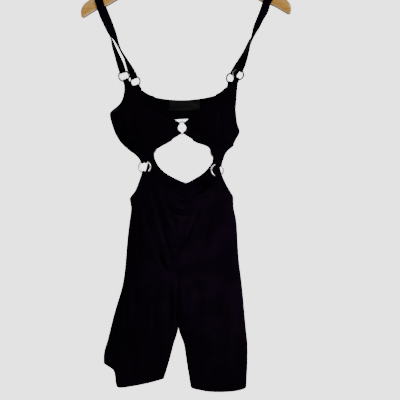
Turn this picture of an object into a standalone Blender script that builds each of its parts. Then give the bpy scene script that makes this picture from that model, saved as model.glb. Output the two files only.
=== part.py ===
"""A cut-out jersey romper with ring joints, hung by its two straps on a wooden hanger.

Frame: the origin is the top of the bend of the hanger's hook, where a rail carries it.  +Z is up, the
garment's front faces -Y, and left means the -X side.  Sizes in the tables are millimetres.
"""

import math

import bmesh
import bpy
import numpy as np
from mathutils import Matrix, Vector

MM = 0.001

# Cloth
WALL = 1.2  # jersey, doubled at its turnings
SEAM = 0.3  # between two pieces that are sewn edge to edge
LOOP_EASE = 0.65  # between a ring's wire and the cloth turned over it
LOOP_BENDS = (180, 120, 60, 0)  # degrees, from behind the wire round to before it
LOOP_SEWN_AT = 0.8  # how far the turned end runs back from the wire towards the piece's own base row
LOOP_BEHIND = 2 * WALL + 0.6  # depth of the turned end behind the piece
TAB_GRIP, STRAP_GRIP, CENTRE_GRIP = 34, 38, 50  # degrees of a ring that the cloth takes, each way
STRAP_WIDTH = 18.0
LABEL_WIDTH, LABEL_HEIGHT, LABEL_WALL = 66.0, 21.0, 0.5
LABEL_X, LABEL_DROP = -3.2, 1.8  # its middle, and how far it sits under the neckline

# Rings: middle radius and wire radius
SMALL_RING = (11.1, 1.5)
LARGE_RING = (12.6, 1.8)

# Hanger
HALF_SPAN = 225.0
HANGER_TILT = 1.0  # degrees, its left end hangs lower
ARM_THICK = 12.0
WOOD_ASIDE = -3.3  # the middle of the wood, from the middle of the hook's bend
ARM_HALF_HEIGHT = 14.0
ARM_LOWER_HALF, TIP_LOWER_HALF = 17.0, 11.7  # below the middle line: within the straps and beyond them
TIP_SLIMS_AT, TIP_SLIMS_OVER = 177.0, 4.0
TIP_UPPER = (207.0, 2.0)  # where the upper edge starts to round down to the end, and how high it meets it
TIP_LOWER = (213.0, -0.5)  # the same for the lower edge
TIP_POWER = 2.5  # a higher one gives a squarer corner
NECK_EXTRA = 6.0  # the wood is this much higher above and below its middle line at the neck
NECK_REACH = 40.0
NECK_FLAT = 4.0  # half the flat seat of the hook
NECK_Z = -83.6
ARM_FALL, ARM_POWER = 0.1293, 1.25
ARM_ROUND = 3.5
HOOK_WIRE = 1.8
HOOK_RADIUS = 18.0  # inside the bend
HOOK_FROM, HOOK_TO = -42, 200  # degrees round the bend, from the shank to the open end
HOOK_SEAT = 0.05  # of the shank's foot, over the top of the wood
SHANK = ((-3.3, HOOK_SEAT), (-3.3, 12.0), (-2.0, 20.0), (3.2, 27.0))  # aside, and over the top of the wood
STRAP_STATIONS = {"left": -190.0, "right": 176.0}  # along the arms


# ---------------------------------------------------------------- numbers and tables


def smooth(table, steps):
    """Each gap between rows in this many steps, on curves that pass through the rows and never overshoot."""
    rows = np.array(table, float)
    change = np.diff(rows, axis=0)
    same_way = change[:-1] * change[1:] > 0
    total = np.where(same_way, change[:-1] + change[1:], 1.0)
    slope = np.zeros_like(rows)
    slope[1:-1] = np.where(same_way, 2 * change[:-1] * change[1:] / total, 0.0)
    slope[0], slope[-1] = change[0], change[-1]
    t = (np.arange(steps) / steps)[None, :, None]
    start, end = rows[:-1, None], rows[1:, None]
    out, into = slope[:-1, None], slope[1:, None]
    curve = (
        (2 * t**3 - 3 * t**2 + 1) * start
        + (t**3 - 2 * t**2 + t) * out
        + (3 * t**2 - 2 * t**3) * end
        + (t**3 - t**2) * into
    )
    return np.vstack([curve.reshape(-1, rows.shape[1]), rows[-1:]])


def mix(a, b, share):
    return a + (b - a) * share


def unit(vector):
    return vector / np.linalg.norm(vector)


# ---------------------------------------------------------------- making solids


def material(name, colour, roughness, metallic=0.0):
    made = bpy.data.materials.new(name)
    made.use_nodes = True
    shader = made.node_tree.nodes["Principled BSDF"]
    shader.inputs["Base Color"].default_value = (*colour, 1.0)
    shader.inputs["Roughness"].default_value = roughness
    shader.inputs["Metallic"].default_value = metallic
    return made


def finish(obj, finish_material, sharp_angle=40.0):
    obj.data.materials.append(finish_material)
    obj.data.shade_smooth()
    obj.data.set_sharp_from_angle(angle=math.radians(sharp_angle))
    return obj


def link(name, data):
    obj = bpy.data.objects.new(name, data)
    bpy.context.scene.collection.objects.link(obj)
    return obj


def cloth(name, grids, finish_material, wall=WALL):
    """One wall of cloth about the middle surface that the grids give; grids that share points are joined."""
    shell = bmesh.new()
    for grid in grids:
        points = [[shell.verts.new(Vector(p) * MM) for p in row] for row in grid]
        for above, below in zip(points, points[1:]):
            for i in range(len(above) - 1):
                shell.faces.new((above[i], below[i], below[i + 1], above[i + 1]))
    bmesh.ops.remove_doubles(shell, verts=shell.verts, dist=0.01 * MM)
    bmesh.ops.recalc_face_normals(shell, faces=shell.faces)
    mesh = bpy.data.meshes.new(name)
    shell.to_mesh(mesh)
    shell.free()
    obj = link(name, mesh)
    thick = obj.modifiers.new("Wall", "SOLIDIFY")
    thick.thickness = wall * MM
    thick.offset = 0.0
    thick.use_even_offset = True
    return finish(obj, finish_material)


# ---------------------------------------------------------------- rings

# x, y and z of the centre, the size, and how far it is turned about Z from facing forward, in degrees
RINGS = {
    "ring_strap_front_left": (-131.6, -12.0, -335.8, SMALL_RING, 0),
    "ring_strap_back_left": (-109.1, 9.0, -344.3, SMALL_RING, -22),
    "ring_strap_front_right": (111.3, -12.0, -332.6, SMALL_RING, 0),
    "ring_strap_back_right": (97.8, 9.0, -336.9, SMALL_RING, -14),
    "ring_centre": (-7.9, -20.0, -446.6, LARGE_RING, 0),
    "ring_waist_front_left": (-87.7, -12.0, -528.8, LARGE_RING, 0),
    "ring_waist_front_right": (67.0, -12.0, -535.7, LARGE_RING, 0),
    "ring_waist_back_left": (-77.5, 10.0, -488.1, LARGE_RING, 0),
    "ring_waist_back_right": (65.3, 10.0, -495.2, LARGE_RING, 0),
}


def ring_turn(name):
    return Matrix.Rotation(math.radians(RINGS[name][4]), 3, "Z")


def make_ring(name, metal):
    x, y, z, (radius, wire), *_ = RINGS[name]
    bpy.ops.mesh.primitive_torus_add(
        major_radius=radius * MM, minor_radius=wire * MM, major_segments=24, minor_segments=8
    )
    obj = bpy.context.active_object
    obj.name = obj.data.name = name
    facing_front = Matrix.Rotation(math.radians(90), 3, "X")
    obj.rotation_euler = (ring_turn(name) @ facing_front).to_euler()
    obj.location = Vector((x, y, z)) * MM
    return finish(obj, metal, 80.0)


def turned_over(ring, base, half_angle):
    """Rows of cloth from the sewn end behind, round the ring's wire and back to the piece's base row.

    base is the row of points where the piece starts to narrow on to the ring.  The cloth follows the
    ring's arc for half_angle degrees each way, passes before the wire, through the ring and down behind.
    """
    x, y, z, (radius, wire), *_ = RINGS[ring]
    centre = np.array((x, y, z))
    ahead = np.array(ring_turn(ring) @ Vector((0, -1, 0)))
    to_base = base.mean(axis=0) - centre
    to_base = unit(to_base - ahead * (to_base @ ahead))
    aside = np.cross(ahead, to_base)
    if aside @ (base[-1] - base[0]) < 0:
        aside = -aside
    travel = np.concatenate([[0], np.cumsum(np.linalg.norm(np.diff(base, axis=0), axis=1))])
    angle = math.radians(half_angle) * (2 * travel / travel[-1] - 1)
    outward = np.cos(angle)[:, None] * to_base + np.sin(angle)[:, None] * aside
    on_wire = centre + radius * outward
    off = wire + LOOP_EASE + WALL / 2
    rows = [mix(on_wire, base, LOOP_SEWN_AT) - ahead * LOOP_BEHIND]
    for bend in np.radians(LOOP_BENDS):
        rows.append(on_wire + off * (math.cos(bend) * ahead - math.sin(bend) * outward))
    rows.append(base)
    return np.array(rows)


# ---------------------------------------------------------------- cloth panels

# How a section runs from its side (0) to its inner edge (1), with a short square-on strip at each seam
ACROSS = np.array((0, 0.04, 0.12, 0.24, 0.38, 0.52, 0.66, 0.8, 0.9, 0.97, 1.0))
FIRST, LAST = ACROSS[1], 1 - ACROSS[-2]

# The same places where the cloth makes a pleat at the side: a flap that lies back, a valley, a crease.
# share of the width, share of the depth, how far out past the seam, and how far the hem rises there
FLAP = np.array((
    (0.0, 0.0, 1.0, 1.0),
    (0.0, 0.1, 1.0, 1.0),
    (0.0, 0.2, 0.55, 0.86),
    (0.0, 0.4, 0.08, 0.74),
    (0.01, 0.9, 0.0, 0.0),
    (0.16, 1.0, 0.0, 0.0),
    (0.38, 1.0, 0.0, 0.0),
    (0.65, 0.9, 0.0, 0.0),
    (0.86, 0.6, 0.0, 0.0),
    (1.0, 0.15, 0.0, 0.0),
    (1.0, 0.0, 0.0, 0.0),
))

# A fold is a soft ridge or, below zero, a trough: x and z of one end, x and z of the other, half its
# width, and its height
FRONT_FOLDS = (
    (-80, -570, -24, -735, 13, 3.0),
    (-62, -600, -35, -700, 9, -2.2),
    (60, -575, 2, -705, 13, 3.0),
    (40, -610, 0, -690, 9, -2.0),
    (-60, -725, -42, -765, 9, -3.5),
    (-85, -640, -95, -900, 16, 2.5),
    (-112, -700, -118, -930, 12, -2.0),
    (-38, -800, -30, -870, 10, -3.5),
    (40, -960, 14, -935, 13, -4.0),
    (75, -720, 85, -980, 20, 2.0),
    (-116, -376, -104, -492, 9, -2.5),
    (-60, -470, -22, -450, 8, -3.0),
    (50, -440, 0, -447, 9, -2.0),
)
BACK_FOLDS = (
    (-70, -560, -20, -740, 14, 3.0),
    (60, -570, -5, -740, 14, 3.0),
    (-90, -650, -120, -900, 14, -2.5),
    (70, -700, 90, -960, 18, 2.5),
)


def fold_height(points, folds):
    total = np.zeros(points.shape[:-1])
    for x, z, to_x, to_z, half_width, height in folds:
        start, run = np.array((x, z)), np.array((to_x - x, to_z - z))
        offset = points[..., (0, 2)] - start
        along = (offset @ run) / (run @ run)
        nearest = np.clip(along, 0, 1)[..., None] * run
        away = np.linalg.norm(offset - nearest, axis=-1)
        fade = np.clip(along * (1 - along) * 4, 0, 1) ** 0.5
        total += height * np.exp(-((away / half_width) ** 2)) * (0.25 + 0.75 * fade)
    return total


# side and inner are the two long edges; puff lifts the middle of a section off the straight line
# between them; fold, tube and pleat say how the section leaves its seams; flap and rise size the pleat
PANEL_COLUMNS = (
    "side_x side_y side_z inner_x inner_y inner_z puff fold tube pleat flap rise sag"
).split()


def panel(table, face, folds, across=ACROSS):
    """A grid of points, section by section.  face is -1 for a front piece and +1 for a back piece."""
    col = dict(zip(PANEL_COLUMNS, np.array(table, float).T[:, :, None]))
    leaves_side = np.clip((across - FIRST) / (1 - FIRST), 0, 1)
    meets_centre = np.clip(across / (1 - LAST), 0, 1)
    both_ends = np.clip((across - FIRST) / (1 - FIRST - LAST), 0, 1)
    share = mix(across, 1 - np.cos(leaves_side * math.pi / 2), col["fold"])
    share = mix(share, (1 - np.cos(both_ends * math.pi)) / 2, col["tube"])
    share = mix(share, FLAP[:, 0] if len(across) == len(FLAP) else share, col["pleat"])
    lean = mix(across, np.sin(meets_centre * math.pi / 2), col["fold"])
    lean = mix(lean, share, col["tube"])
    arch = np.sin(across * math.pi)
    weight = mix(np.sin(meets_centre * math.pi / 2), arch, col["tube"])
    weight = mix(arch, weight, col["fold"])
    out, rise = 0.0, 0.0
    if len(across) == len(FLAP):
        arch = mix(arch, FLAP[:, 1], col["pleat"])
        out, rise = FLAP[:, 2] * col["flap"], FLAP[:, 3] * col["rise"]
    x = mix(col["side_x"], col["inner_x"], share) - out
    z = mix(col["side_z"], col["inner_z"], share) + rise - col["sag"] * np.sin(across * math.pi)
    y = mix(col["side_y"], col["inner_y"], lean) + face * col["puff"] * arch
    grid = np.stack(np.broadcast_arrays(x, y, z), axis=-1)
    grid[..., 1] += face * weight * fold_height(grid, folds)
    return grid


# ---------------------------------------------------------------- the bodice

CUP_ACROSS = np.array((0, 0.05, 0.18, 0.34, 0.5, 0.66, 0.82, 0.94, 1.0))

#        side x      y      z   inner x     y       z   puff fold tube pleat flap rise sag
CUP_LEFT = (
    (-131.3, -13.0, -355.0, -116.0, -13.0, -354.0, 0, 0, 0, 0, 0, 0, 0),
    (-130.8, -13.0, -366.0, -109.5, -14.0, -366.5, 1, 0, 0, 0, 0, 0, 0),
    (-132.5, -12.0, -379.0, -104.0, -15.0, -379.0, 3, 0, 0, 0, 0, 0, 0),
    (-138.2, -9.5, -391.5, -90.0, -16.0, -393.0, 6, 0, 0, 0, 0, 0, 0),
    (-148.0, -5.0, -401.5, -66.0, -17.0, -411.5, 10, 0.4, 0, 0, 0, 0, 0),
    (-162.7, -0.15, -412.0, -44.0, -18.0, -422.5, 13, 1, 0, 0, 0, 0, 0),
    (-162.3, -0.15, -420.0, -23.5, -19.5, -427.5, 14, 1, 0, 0, 0, 0, 0),
    (-160.5, -0.15, -428.5, -26.0, -20.0, -437.0, 15, 1, 0, 0, 0, 0, 0),
    (-158.0, -0.15, -437.0, -27.5, -20.0, -447.0, 15, 1, 0, 0, 0, 0, 0),
    (-155.2, -0.15, -445.5, -26.5, -20.0, -458.0, 15, 1, 0, 0, 0, 0, 0),
    (-152.0, -0.15, -454.5, -26.5, -19.5, -468.0, 14, 1, 0, 0, 0, 0, 0),
    (-145.5, -0.15, -467.0, -38.5, -18.0, -475.5, 12, 1, 0, 0, 0, 0, 0),
    (-136.0, -4.0, -479.0, -56.0, -16.0, -484.0, 9, 0.4, 0, 0, 0, 0, 0),
    (-122.4, -8.0, -492.0, -69.0, -14.0, -491.5, 5, 0, 0, 0, 0, 0, 0),
    (-107.5, -11.0, -503.0, -77.0, -12.5, -501.0, 2, 0, 0, 0, 0, 0, 0),
    (-99.5, -12.0, -511.5, -80.5, -12.0, -509.5, 0, 0, 0, 0, 0, 0, 0),
)
CUP_RIGHT = (
    (110.3, -13.0, -352.0, 96.5, -13.0, -351.0, 0, 0, 0, 0, 0, 0, 0),
    (108.8, -13.0, -365.0, 87.0, -14.0, -363.0, 1, 0, 0, 0, 0, 0, 0),
    (107.8, -12.0, -378.0, 72.0, -15.0, -375.5, 3, 0, 0, 0, 0, 0, 0),
    (107.0, -9.5, -388.0, 57.0, -16.0, -386.0, 6, 0, 0, 0, 0, 0, 0),
    (106.0, -5.0, -399.0, 38.0, -17.0, -399.0, 10, 0.4, 0, 0, 0, 0, 0),
    (104.6, -0.15, -412.0, 25.0, -18.0, -413.0, 12, 1, 0, 0, 0, 0, 0),
    (103.7, -0.15, -421.0, 6.5, -19.5, -426.0, 13, 1, 0, 0, 0, 0, 0),
    (102.9, -0.15, -429.5, 10.0, -20.0, -435.0, 14, 1, 0, 0, 0, 0, 0),
    (102.1, -0.15, -438.0, 11.7, -20.0, -446.0, 14, 1, 0, 0, 0, 0, 0),
    (101.4, -0.15, -446.5, 12.2, -20.0, -457.5, 14, 1, 0, 0, 0, 0, 0),
    (100.8, -0.15, -455.0, 12.0, -19.5, -468.5, 13, 1, 0, 0, 0, 0, 0),
    (99.5, -0.15, -468.0, 21.0, -18.0, -474.0, 11, 1, 0, 0, 0, 0, 0),
    (96.0, -4.0, -481.0, 33.5, -16.0, -479.5, 8, 0.4, 0, 0, 0, 0, 0),
    (90.5, -8.0, -491.0, 48.0, -14.0, -485.5, 5, 0, 0, 0, 0, 0, 0),
    (83.0, -11.0, -502.0, 60.0, -12.5, -497.0, 2, 0, 0, 0, 0, 0, 0),
    (78.5, -12.0, -516.0, 64.5, -12.0, -514.5, 0, 0, 0, 0, 0, 0, 0),
)
CENTRE_ROWS = (6, 10)  # between these sections the cup ends at the centre ring

WING_LEFT = (
    (-111.0, 9.5, -363.0, -95.5, 9.5, -362.0, 0, 0, 0, 0, 0, 0, 0),
    (-116.0, 9.5, -375.0, -87.5, 10.0, -369.5, 1, 0, 0, 0, 0, 0, 0),
    (-125.0, 8.0, -388.0, -77.0, 10.5, -375.5, 2, 0, 0, 0, 0, 0, 0),
    (-142.0, 5.0, -400.5, -66.0, 11.0, -379.8, 3, 0.4, 0, 0, 0, 0, 0),
    (-162.7, 0.15, -412.0, -66.0, 11.0, -395.5, 3, 1, 0, 0, 0, 0, 0),
    (-158.0, 0.15, -437.0, -66.0, 11.0, -411.5, 3, 1, 0, 0, 0, 0, 0),
    (-152.0, 0.15, -453.5, -66.0, 11.0, -428.0, 3, 1, 0, 0, 0, 0, 0),
    (-145.5, 0.15, -467.0, -67.0, 11.0, -443.0, 3, 1, 0, 0, 0, 0, 0),
    (-126.0, 4.0, -469.5, -70.0, 11.0, -452.0, 2, 0.4, 0, 0, 0, 0, 0),
    (-105.0, 8.0, -468.0, -72.0, 10.5, -460.0, 1, 0, 0, 0, 0, 0, 0),
    (-87.0, 10.0, -469.0, -71.0, 10.0, -468.0, 0, 0, 0, 0, 0, 0, 0),
)
WING_RIGHT = (
    (102.5, 9.5, -356.0, 88.0, 9.5, -355.0, 0, 0, 0, 0, 0, 0, 0),
    (104.5, 9.5, -369.0, 81.0, 10.0, -363.5, 1, 0, 0, 0, -1, 0, 0),
    (106.0, 8.0, -383.0, 72.5, 10.5, -370.5, 2, 0, 0, 0, -2, 0, 0),
    (106.5, 5.0, -398.0, 62.5, 11.0, -375.5, 3, 0.4, 0, 0, -3, 0, 0),
    (104.6, 0.15, -412.0, 63.0, 11.0, -392.0, 3, 1, 0, 0, -5, 0, 0),
    (102.0, 0.15, -438.0, 63.0, 11.0, -409.5, 3, 1, 0, 0, -11, 0, 0),
    (101.0, 0.15, -453.0, 63.0, 11.0, -425.5, 3, 1, 0, 0, -17, 0, 0),
    (99.5, 0.15, -468.0, 63.0, 11.0, -440.0, 3, 1, 0, 0, -12, 0, 0),
    (98.0, 2.0, -479.0, 63.5, 11.0, -449.0, 3, 0.6, 0, 0, -11, 0, 0),
    (93.5, 5.0, -487.0, 63.5, 11.0, -457.0, 2, 0.3, 0, 0, -8, 0, 0),
    (84.5, 8.0, -485.0, 62.0, 10.5, -466.5, 1, 0, 0, 0, -1, 0, 0),
    (74.0, 10.0, -477.0, 58.5, 10.0, -475.5, 0, 0, 0, 0, 0, 0, 0),
)
BAND_ROWS = (3, 7)  # between these sections the two wings join across the back
NECK_DIP = 8.4  # how far the back neckline sinks below its ends
ARCH_RISE = 16.5  # how far the back's lower edge rises above its ends
BACK_BOW = 1.5  # how far the back's middle stands off its ends
BULGE_PEAK = 256 / 27  # scales share * (1 - share)^3 to a highest value of one


def bulging(grid, table):
    """The cloth behind the right side seam, which bellies out past the seam before it turns back."""
    reach = np.array(table)[:, PANEL_COLUMNS.index("flap"), None]
    inside = np.clip(CUP_ACROSS - CUP_ACROSS[1], 0, 1)
    place = inside * (1 - inside) ** 3 * BULGE_PEAK
    grid[..., 0] -= reach * place
    return grid


def make_cup(name, side, table, cloth_material):
    grid = panel(table, -1, FRONT_FOLDS, across=CUP_ACROSS)
    first, last = CENTRE_ROWS
    grids = [
        grid,
        turned_over(f"ring_strap_front_{side}", grid[0], TAB_GRIP),
        turned_over(f"ring_waist_front_{side}", grid[-1], TAB_GRIP),
        turned_over("ring_centre", grid[first : last + 1, -1], CENTRE_GRIP),
    ]
    return cloth(name, grids, cloth_material)


def band_between(left, right, columns=10):
    """The middle of the back band, from the left wing's inner edge to the right wing's."""
    across = np.linspace(0, 1, columns)[None, :, None]
    grid = mix(left[:, None], right[:, None], across)
    down = np.linspace(0, 1, len(left))[:, None]
    bow = 4 * across[..., 0] * (1 - across[..., 0])
    grid[..., 2] += mix(-NECK_DIP * bow, ARCH_RISE * bow**0.5, down)
    grid[..., 1] += BACK_BOW * bow
    return grid


def make_back_band(cloth_material, label_material):
    left = panel(WING_LEFT, 1, (), across=CUP_ACROSS)
    right = bulging(panel(WING_RIGHT, 1, (), across=CUP_ACROSS), WING_RIGHT)
    first, last = BAND_ROWS
    middle = band_between(left[first : last + 1, -1], right[first : last + 1, -1])
    grids = [left, right, middle]
    for side, wing in (("left", left), ("right", right)):
        grids.append(turned_over(f"ring_strap_back_{side}", wing[0], TAB_GRIP))
        grids.append(turned_over(f"ring_waist_back_{side}", wing[-1], TAB_GRIP))
    cloth("back_band", grids, cloth_material)
    make_label(middle, label_material)


def make_label(middle, label_material):
    """The woven label, laid on the inside of the band's points just under the neckline."""
    xs = middle[0, :, 0]
    inside = WALL / 2 + SEAM + LABEL_WALL / 2
    edges = LABEL_X + LABEL_WIDTH * np.linspace(-0.5, 0.5, 7)
    neck = np.interp(edges, xs, middle[0, :, 2])
    depth = np.interp(edges, xs, middle[0, :, 1])
    drops = LABEL_DROP + LABEL_HEIGHT * np.linspace(0, 1, 3)
    grid = np.array([
        [(x, y - inside, z - drop) for x, y, z in zip(edges, depth, neck)] for drop in drops
    ])
    cloth("neck_label", [grid], label_material, LABEL_WALL)


# ---------------------------------------------------------------- the shorts

#        side x      y      z   inner x     y       z   puff fold tube pleat flap rise sag
FRONT_YOKE_LEFT = (
    (-96.0, -12.5, -549.5, -74.0, -12.5, -548.5, 0, 0, 0, 0, 0, 0, 0),
    (-101.5, -11.5, -565.0, -53.0, -14.0, -565.5, 1, 0, 0, 0, 0, 0, 0),
    (-110.0, -6.0, -583.0, -31.0, -16.0, -579.5, 2, 0.3, 0, 0, 0, 0, 0),
    (-120.0, -0.5, -596.0, -10.0, -17.5, -592.5, 3, 1, 0, 0, 0, 0, 0),
)
FRONT_YOKE_RIGHT = (
    (77.5, -12.5, -556.5, 64.5, -12.5, -556.0, 0, 0, 0, 0, 0, 0, 0),
    (86.0, -11.5, -567.5, 59.0, -14.0, -569.0, 1, 0, 0, 0, 0, 0, 0),
    (94.5, -6.0, -581.0, 42.0, -16.0, -581.0, 2, 0.3, 0, 0, 0, 0, 0),
    (101.0, -0.5, -594.0, 18.0, -17.5, -592.5, 3, 1, 0, 0, 0, 0, 0),
)
BACK_YOKE_LEFT = (
    (-80.0, 10.0, -509.0, -67.5, 10.0, -509.5, 0, 0, 0, 0, 0, 0, 0),
    (-82.5, 10.0, -524.0, -60.5, 10.5, -524.5, 0, 0, 0, 0, 0, 0, 0),
    (-90.0, 8.5, -545.0, -44.0, 11.0, -541.0, 1, 0, 0, 0, 0, 0, 0),
    (-103.5, 5.0, -573.0, -23.0, 11.5, -552.5, 1, 0.3, 0, 0, 0, 0, 0),
    (-120.0, 0.5, -596.0, -7.0, 12.0, -560.0, 2, 1, 0, 0, 0, 0, 0),
)
BACK_YOKE_RIGHT = (
    (71.0, 10.0, -516.5, 57.0, 10.0, -517.0, 0, 0, 0, 0, 0, 0, 0),
    (73.0, 10.0, -529.5, 48.0, 10.5, -529.5, 0, 0, 0, 0, 0, 0, 0),
    (78.0, 8.5, -547.0, 35.0, 11.0, -542.5, 1, 0, 0, 0, 0, 0, 0),
    (89.0, 5.0, -571.0, 19.0, 11.5, -552.5, 1, 0.3, 0, 0, 0, 0, 0),
    (101.0, 0.5, -594.0, 6.0, 12.0, -560.0, 2, 1, 0, 0, 0, 0, 0),
)

# One row is one section of the shorts, from the left side seam by the centre, or by the two inseams
# below the crotch, to the right side seam.  front and back are how far the centre seams stand off.
HIP_COLUMNS = (
    "left_x left_z centre_left_x centre_right_x centre_z right_x right_z front back "
    "puff tube pleat flap rise sag_left sag_right side_y"
).split()
FRONT_TOP = (-118.8, -605.0, -0.5, -0.5, -597.0, 101.2, -603.0, 18.0, 0, 3, 0, 0, 0, 0, 0, 0, 0)
BACK_TOP = (-118.8, -605.0, 0.0, 0.0, -563.0, 101.2, -603.0, 0, 12.0, 3, 0, 0, 0, 0, 0, 0, 0)
HIPS = (
    (-116.8, -618.0, -2.5, -2.5, -618.0, 102.0, -618.0, 18, 13, 3, 0, 0, 0, 0, 0, 0, 0),
    (-120.5, -645.0, -5.0, -5.0, -645.0, 108.0, -645.0, 18, 14, 3, 0, 0, 0, 0, 0, 0, 0),
    (-125.2, -685.0, -9.0, -9.0, -686.0, 110.0, -683.0, 17, 14, 3, 0, 0, 0, 0, 0, 0, 0),
    (-128.4, -727.0, -13.5, -13.5, -730.0, 113.0, -730.0, 14, 13, 4, 0, 0, 0, 0, 0, 0, 0),
    (-132.5, -764.0, -17.7, -16.3, -766.0, 118.0, -767.0, 8, 9, 8, 0.5, 0, 0, 0, 0, 0, 0),
    (-133.5, -790.0, -17.4, -15.4, -790.0, 120.7, -792.0, 0.6, 0.6, 14, 1, 0.2, 4, 0, 0, 0, 0),
    (-137.5, -835.0, -16.6, -15.2, -830.0, 124.5, -835.0, 0.15, 0.15, 15, 1, 0.7, 14, 0, 0, 0, 1),
    (-139.8, -873.0, -17.0, -14.6, -868.0, 128.0, -873.0, 0.15, 0.15, 15, 1, 1, 21.5, 0, 0, 0, 2),
    (-143.0, -912.0, -27.0, -3.5, -908.0, 131.8, -912.0, 0.15, 0.15, 15, 1, 1, 26, 8, 0, 0, 3),
    (-146.0, -951.0, -37.5, 2.4, -948.0, 131.4, -948.0, 0.15, 0.15, 16, 1, 1, 30, 24, 2, 3, 4),
    (-149.2, -992.5, -48.0, 10.8, -980.0, 128.4, -997.0, 0.15, 0.15, 17, 1, 1, 27, 44, 7, 9, 5),
)
HEM_CORNER_RIGHT = -996.0  # the right inseam ends lower than the left one


def hip_sections(side, face, top):
    """The sections of one of the four shorts panels, in the panel table's columns."""
    rows = []
    for number, row in enumerate((top, *HIPS)):
        col = dict(zip(HIP_COLUMNS, row))
        left = side == "left"
        last = number == len(HIPS)
        centre_z = HEM_CORNER_RIGHT if last and not left else col["centre_z"]
        stands = col["front"] if face < 0 else col["back"]
        seam_y = face * SEAM / 2 + (col["side_y"] if left else 0)
        pleated = left and face < 0
        side_x, side_z = (col["left_x"], col["left_z"]) if left else (col["right_x"], col["right_z"])
        if left and face > 0:
            side_x, side_z = side_x - col["flap"], side_z + col["rise"]
        rows.append((
            side_x,
            seam_y,
            side_z,
            col["centre_left_x"] - SEAM / 2 if left else col["centre_right_x"] + SEAM / 2,
            face * stands,
            centre_z,
            col["puff"],
            1,
            col["tube"],
            col["pleat"] if pleated else 0,
            col["flap"] if pleated else 0,
            col["rise"] if pleated else 0,
            col["sag_left"] if left else col["sag_right"],
        ))
    return tuple(rows)


def make_shorts(cloth_material):
    pieces = (
        ("front_left", "left", -1, FRONT_YOKE_LEFT, FRONT_TOP, FRONT_FOLDS),
        ("front_right", "right", -1, FRONT_YOKE_RIGHT, FRONT_TOP, FRONT_FOLDS),
        ("back_left", "left", 1, BACK_YOKE_LEFT, BACK_TOP, BACK_FOLDS),
        ("back_right", "right", 1, BACK_YOKE_RIGHT, BACK_TOP, BACK_FOLDS),
    )
    for name, side, face, yoke, top, folds in pieces:
        grid = panel(yoke + hip_sections(side, face, top), face, folds)
        facing = "front" if face < 0 else "back"
        grids = [grid, turned_over(f"ring_waist_{facing}_{side}", grid[0], TAB_GRIP)]
        cloth(name, grids, cloth_material)


# ---------------------------------------------------------------- the straps

# Middle line of each strand below the hanger: x, y, z, and its twist in degrees from facing forward
STRANDS = {
    "left": {
        "front": (
            (-175.5, -8.0, -205.0, 16),
            (-169.3, -8.5, -222.0, 42),
            (-163.2, -9.0, -240.0, 70),
            (-159.3, -9.5, -255.0, 92),
            (-153.4, -10.5, -273.0, 110),
            (-146.3, -11.5, -292.0, 127),
            (-138.0, -12.0, -314.5, 146),
        ),
        "back": (
            (-172.3, 7.5, -205.0, 4),
            (-165.4, 7.5, -222.0, 20),
            (-158.4, 8.0, -239.0, 42),
            (-150.8, 8.0, -256.0, 64),
            (-139.5, 8.5, -279.0, 92),
            (-130.2, 9.0, -297.0, 110),
            (-117.3, 9.0, -323.5, 145),
        ),
    },
    "right": {
        "front": (
            (161.6, -8.0, -205.0, 34),
            (153.9, -8.5, -222.0, 52),
            (145.7, -9.0, -240.0, 72),
            (138.9, -9.5, -256.0, 92),
            (133.0, -10.5, -273.0, 110),
            (126.6, -11.5, -290.0, 130),
            (118.3, -12.0, -312.0, 152),
        ),
        "back": (
            (161.6, 7.5, -205.0, 34),
            (153.9, 7.5, -222.0, 52),
            (145.7, 8.0, -240.0, 72),
            (138.3, 8.0, -256.0, 92),
            (130.8, 8.5, -273.0, 108),
            (122.8, 9.0, -290.0, 126),
            (108.3, 9.0, -316.5, 148),
        ),
    },
}


def arm_middle(along):
    """Height of the wood's middle line at this place along the hanger."""
    return NECK_Z - ARM_FALL * abs(along - WOOD_ASIDE) ** ARM_POWER


def on_hanger(along, above, depth):
    """A world point from a place along the arm, a height square to the arm and a depth."""
    step = 0.5
    axis = unit(np.array((2 * step, arm_middle(along + step) - arm_middle(along - step))))
    x = along - axis[1] * above
    z = arm_middle(along) + axis[0] * above
    tilt = math.radians(HANGER_TILT)
    return np.array((
        x * math.cos(tilt) - z * math.sin(tilt),
        depth,
        x * math.sin(tilt) + z * math.cos(tilt),
    ))


def over_the_arm():
    """Heights and depths of the strap where it lies round the arm, from its front foot to its back foot."""
    clear = SEAM + WALL / 2
    corner = ARM_ROUND + clear
    face = ARM_THICK / 2 + clear
    top = ARM_HALF_HEIGHT + clear
    half = [(-ARM_HALF_HEIGHT, -face), (0.0, -face)]
    for turn in np.radians((0, 30, 60, 90)):
        half.append((top - corner * (1 - math.sin(turn)), -face + corner * (1 - math.cos(turn))))
    return half + [(above, -depth) for above, depth in reversed(half)]


def strap_rows(centres, twists):
    """Rows of points across the strap; its width turns about its own run by the twist."""
    centres, twists = np.array(centres), np.radians(np.array(twists))
    run = np.gradient(centres, axis=0)
    rows = []
    for centre, heading, twist in zip(centres, run, twists):
        heading = unit(heading * (1, 0, 1))
        level = np.array((-heading[2], 0, heading[0]))
        level = level * math.copysign(1, level[0])
        width = level * math.cos(twist) + np.array((0, 1, 0)) * math.sin(twist)
        rows.append([centre + width * STRAP_WIDTH * share for share in (-0.5, -0.25, 0, 0.25, 0.5)])
    return np.array(rows)


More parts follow.
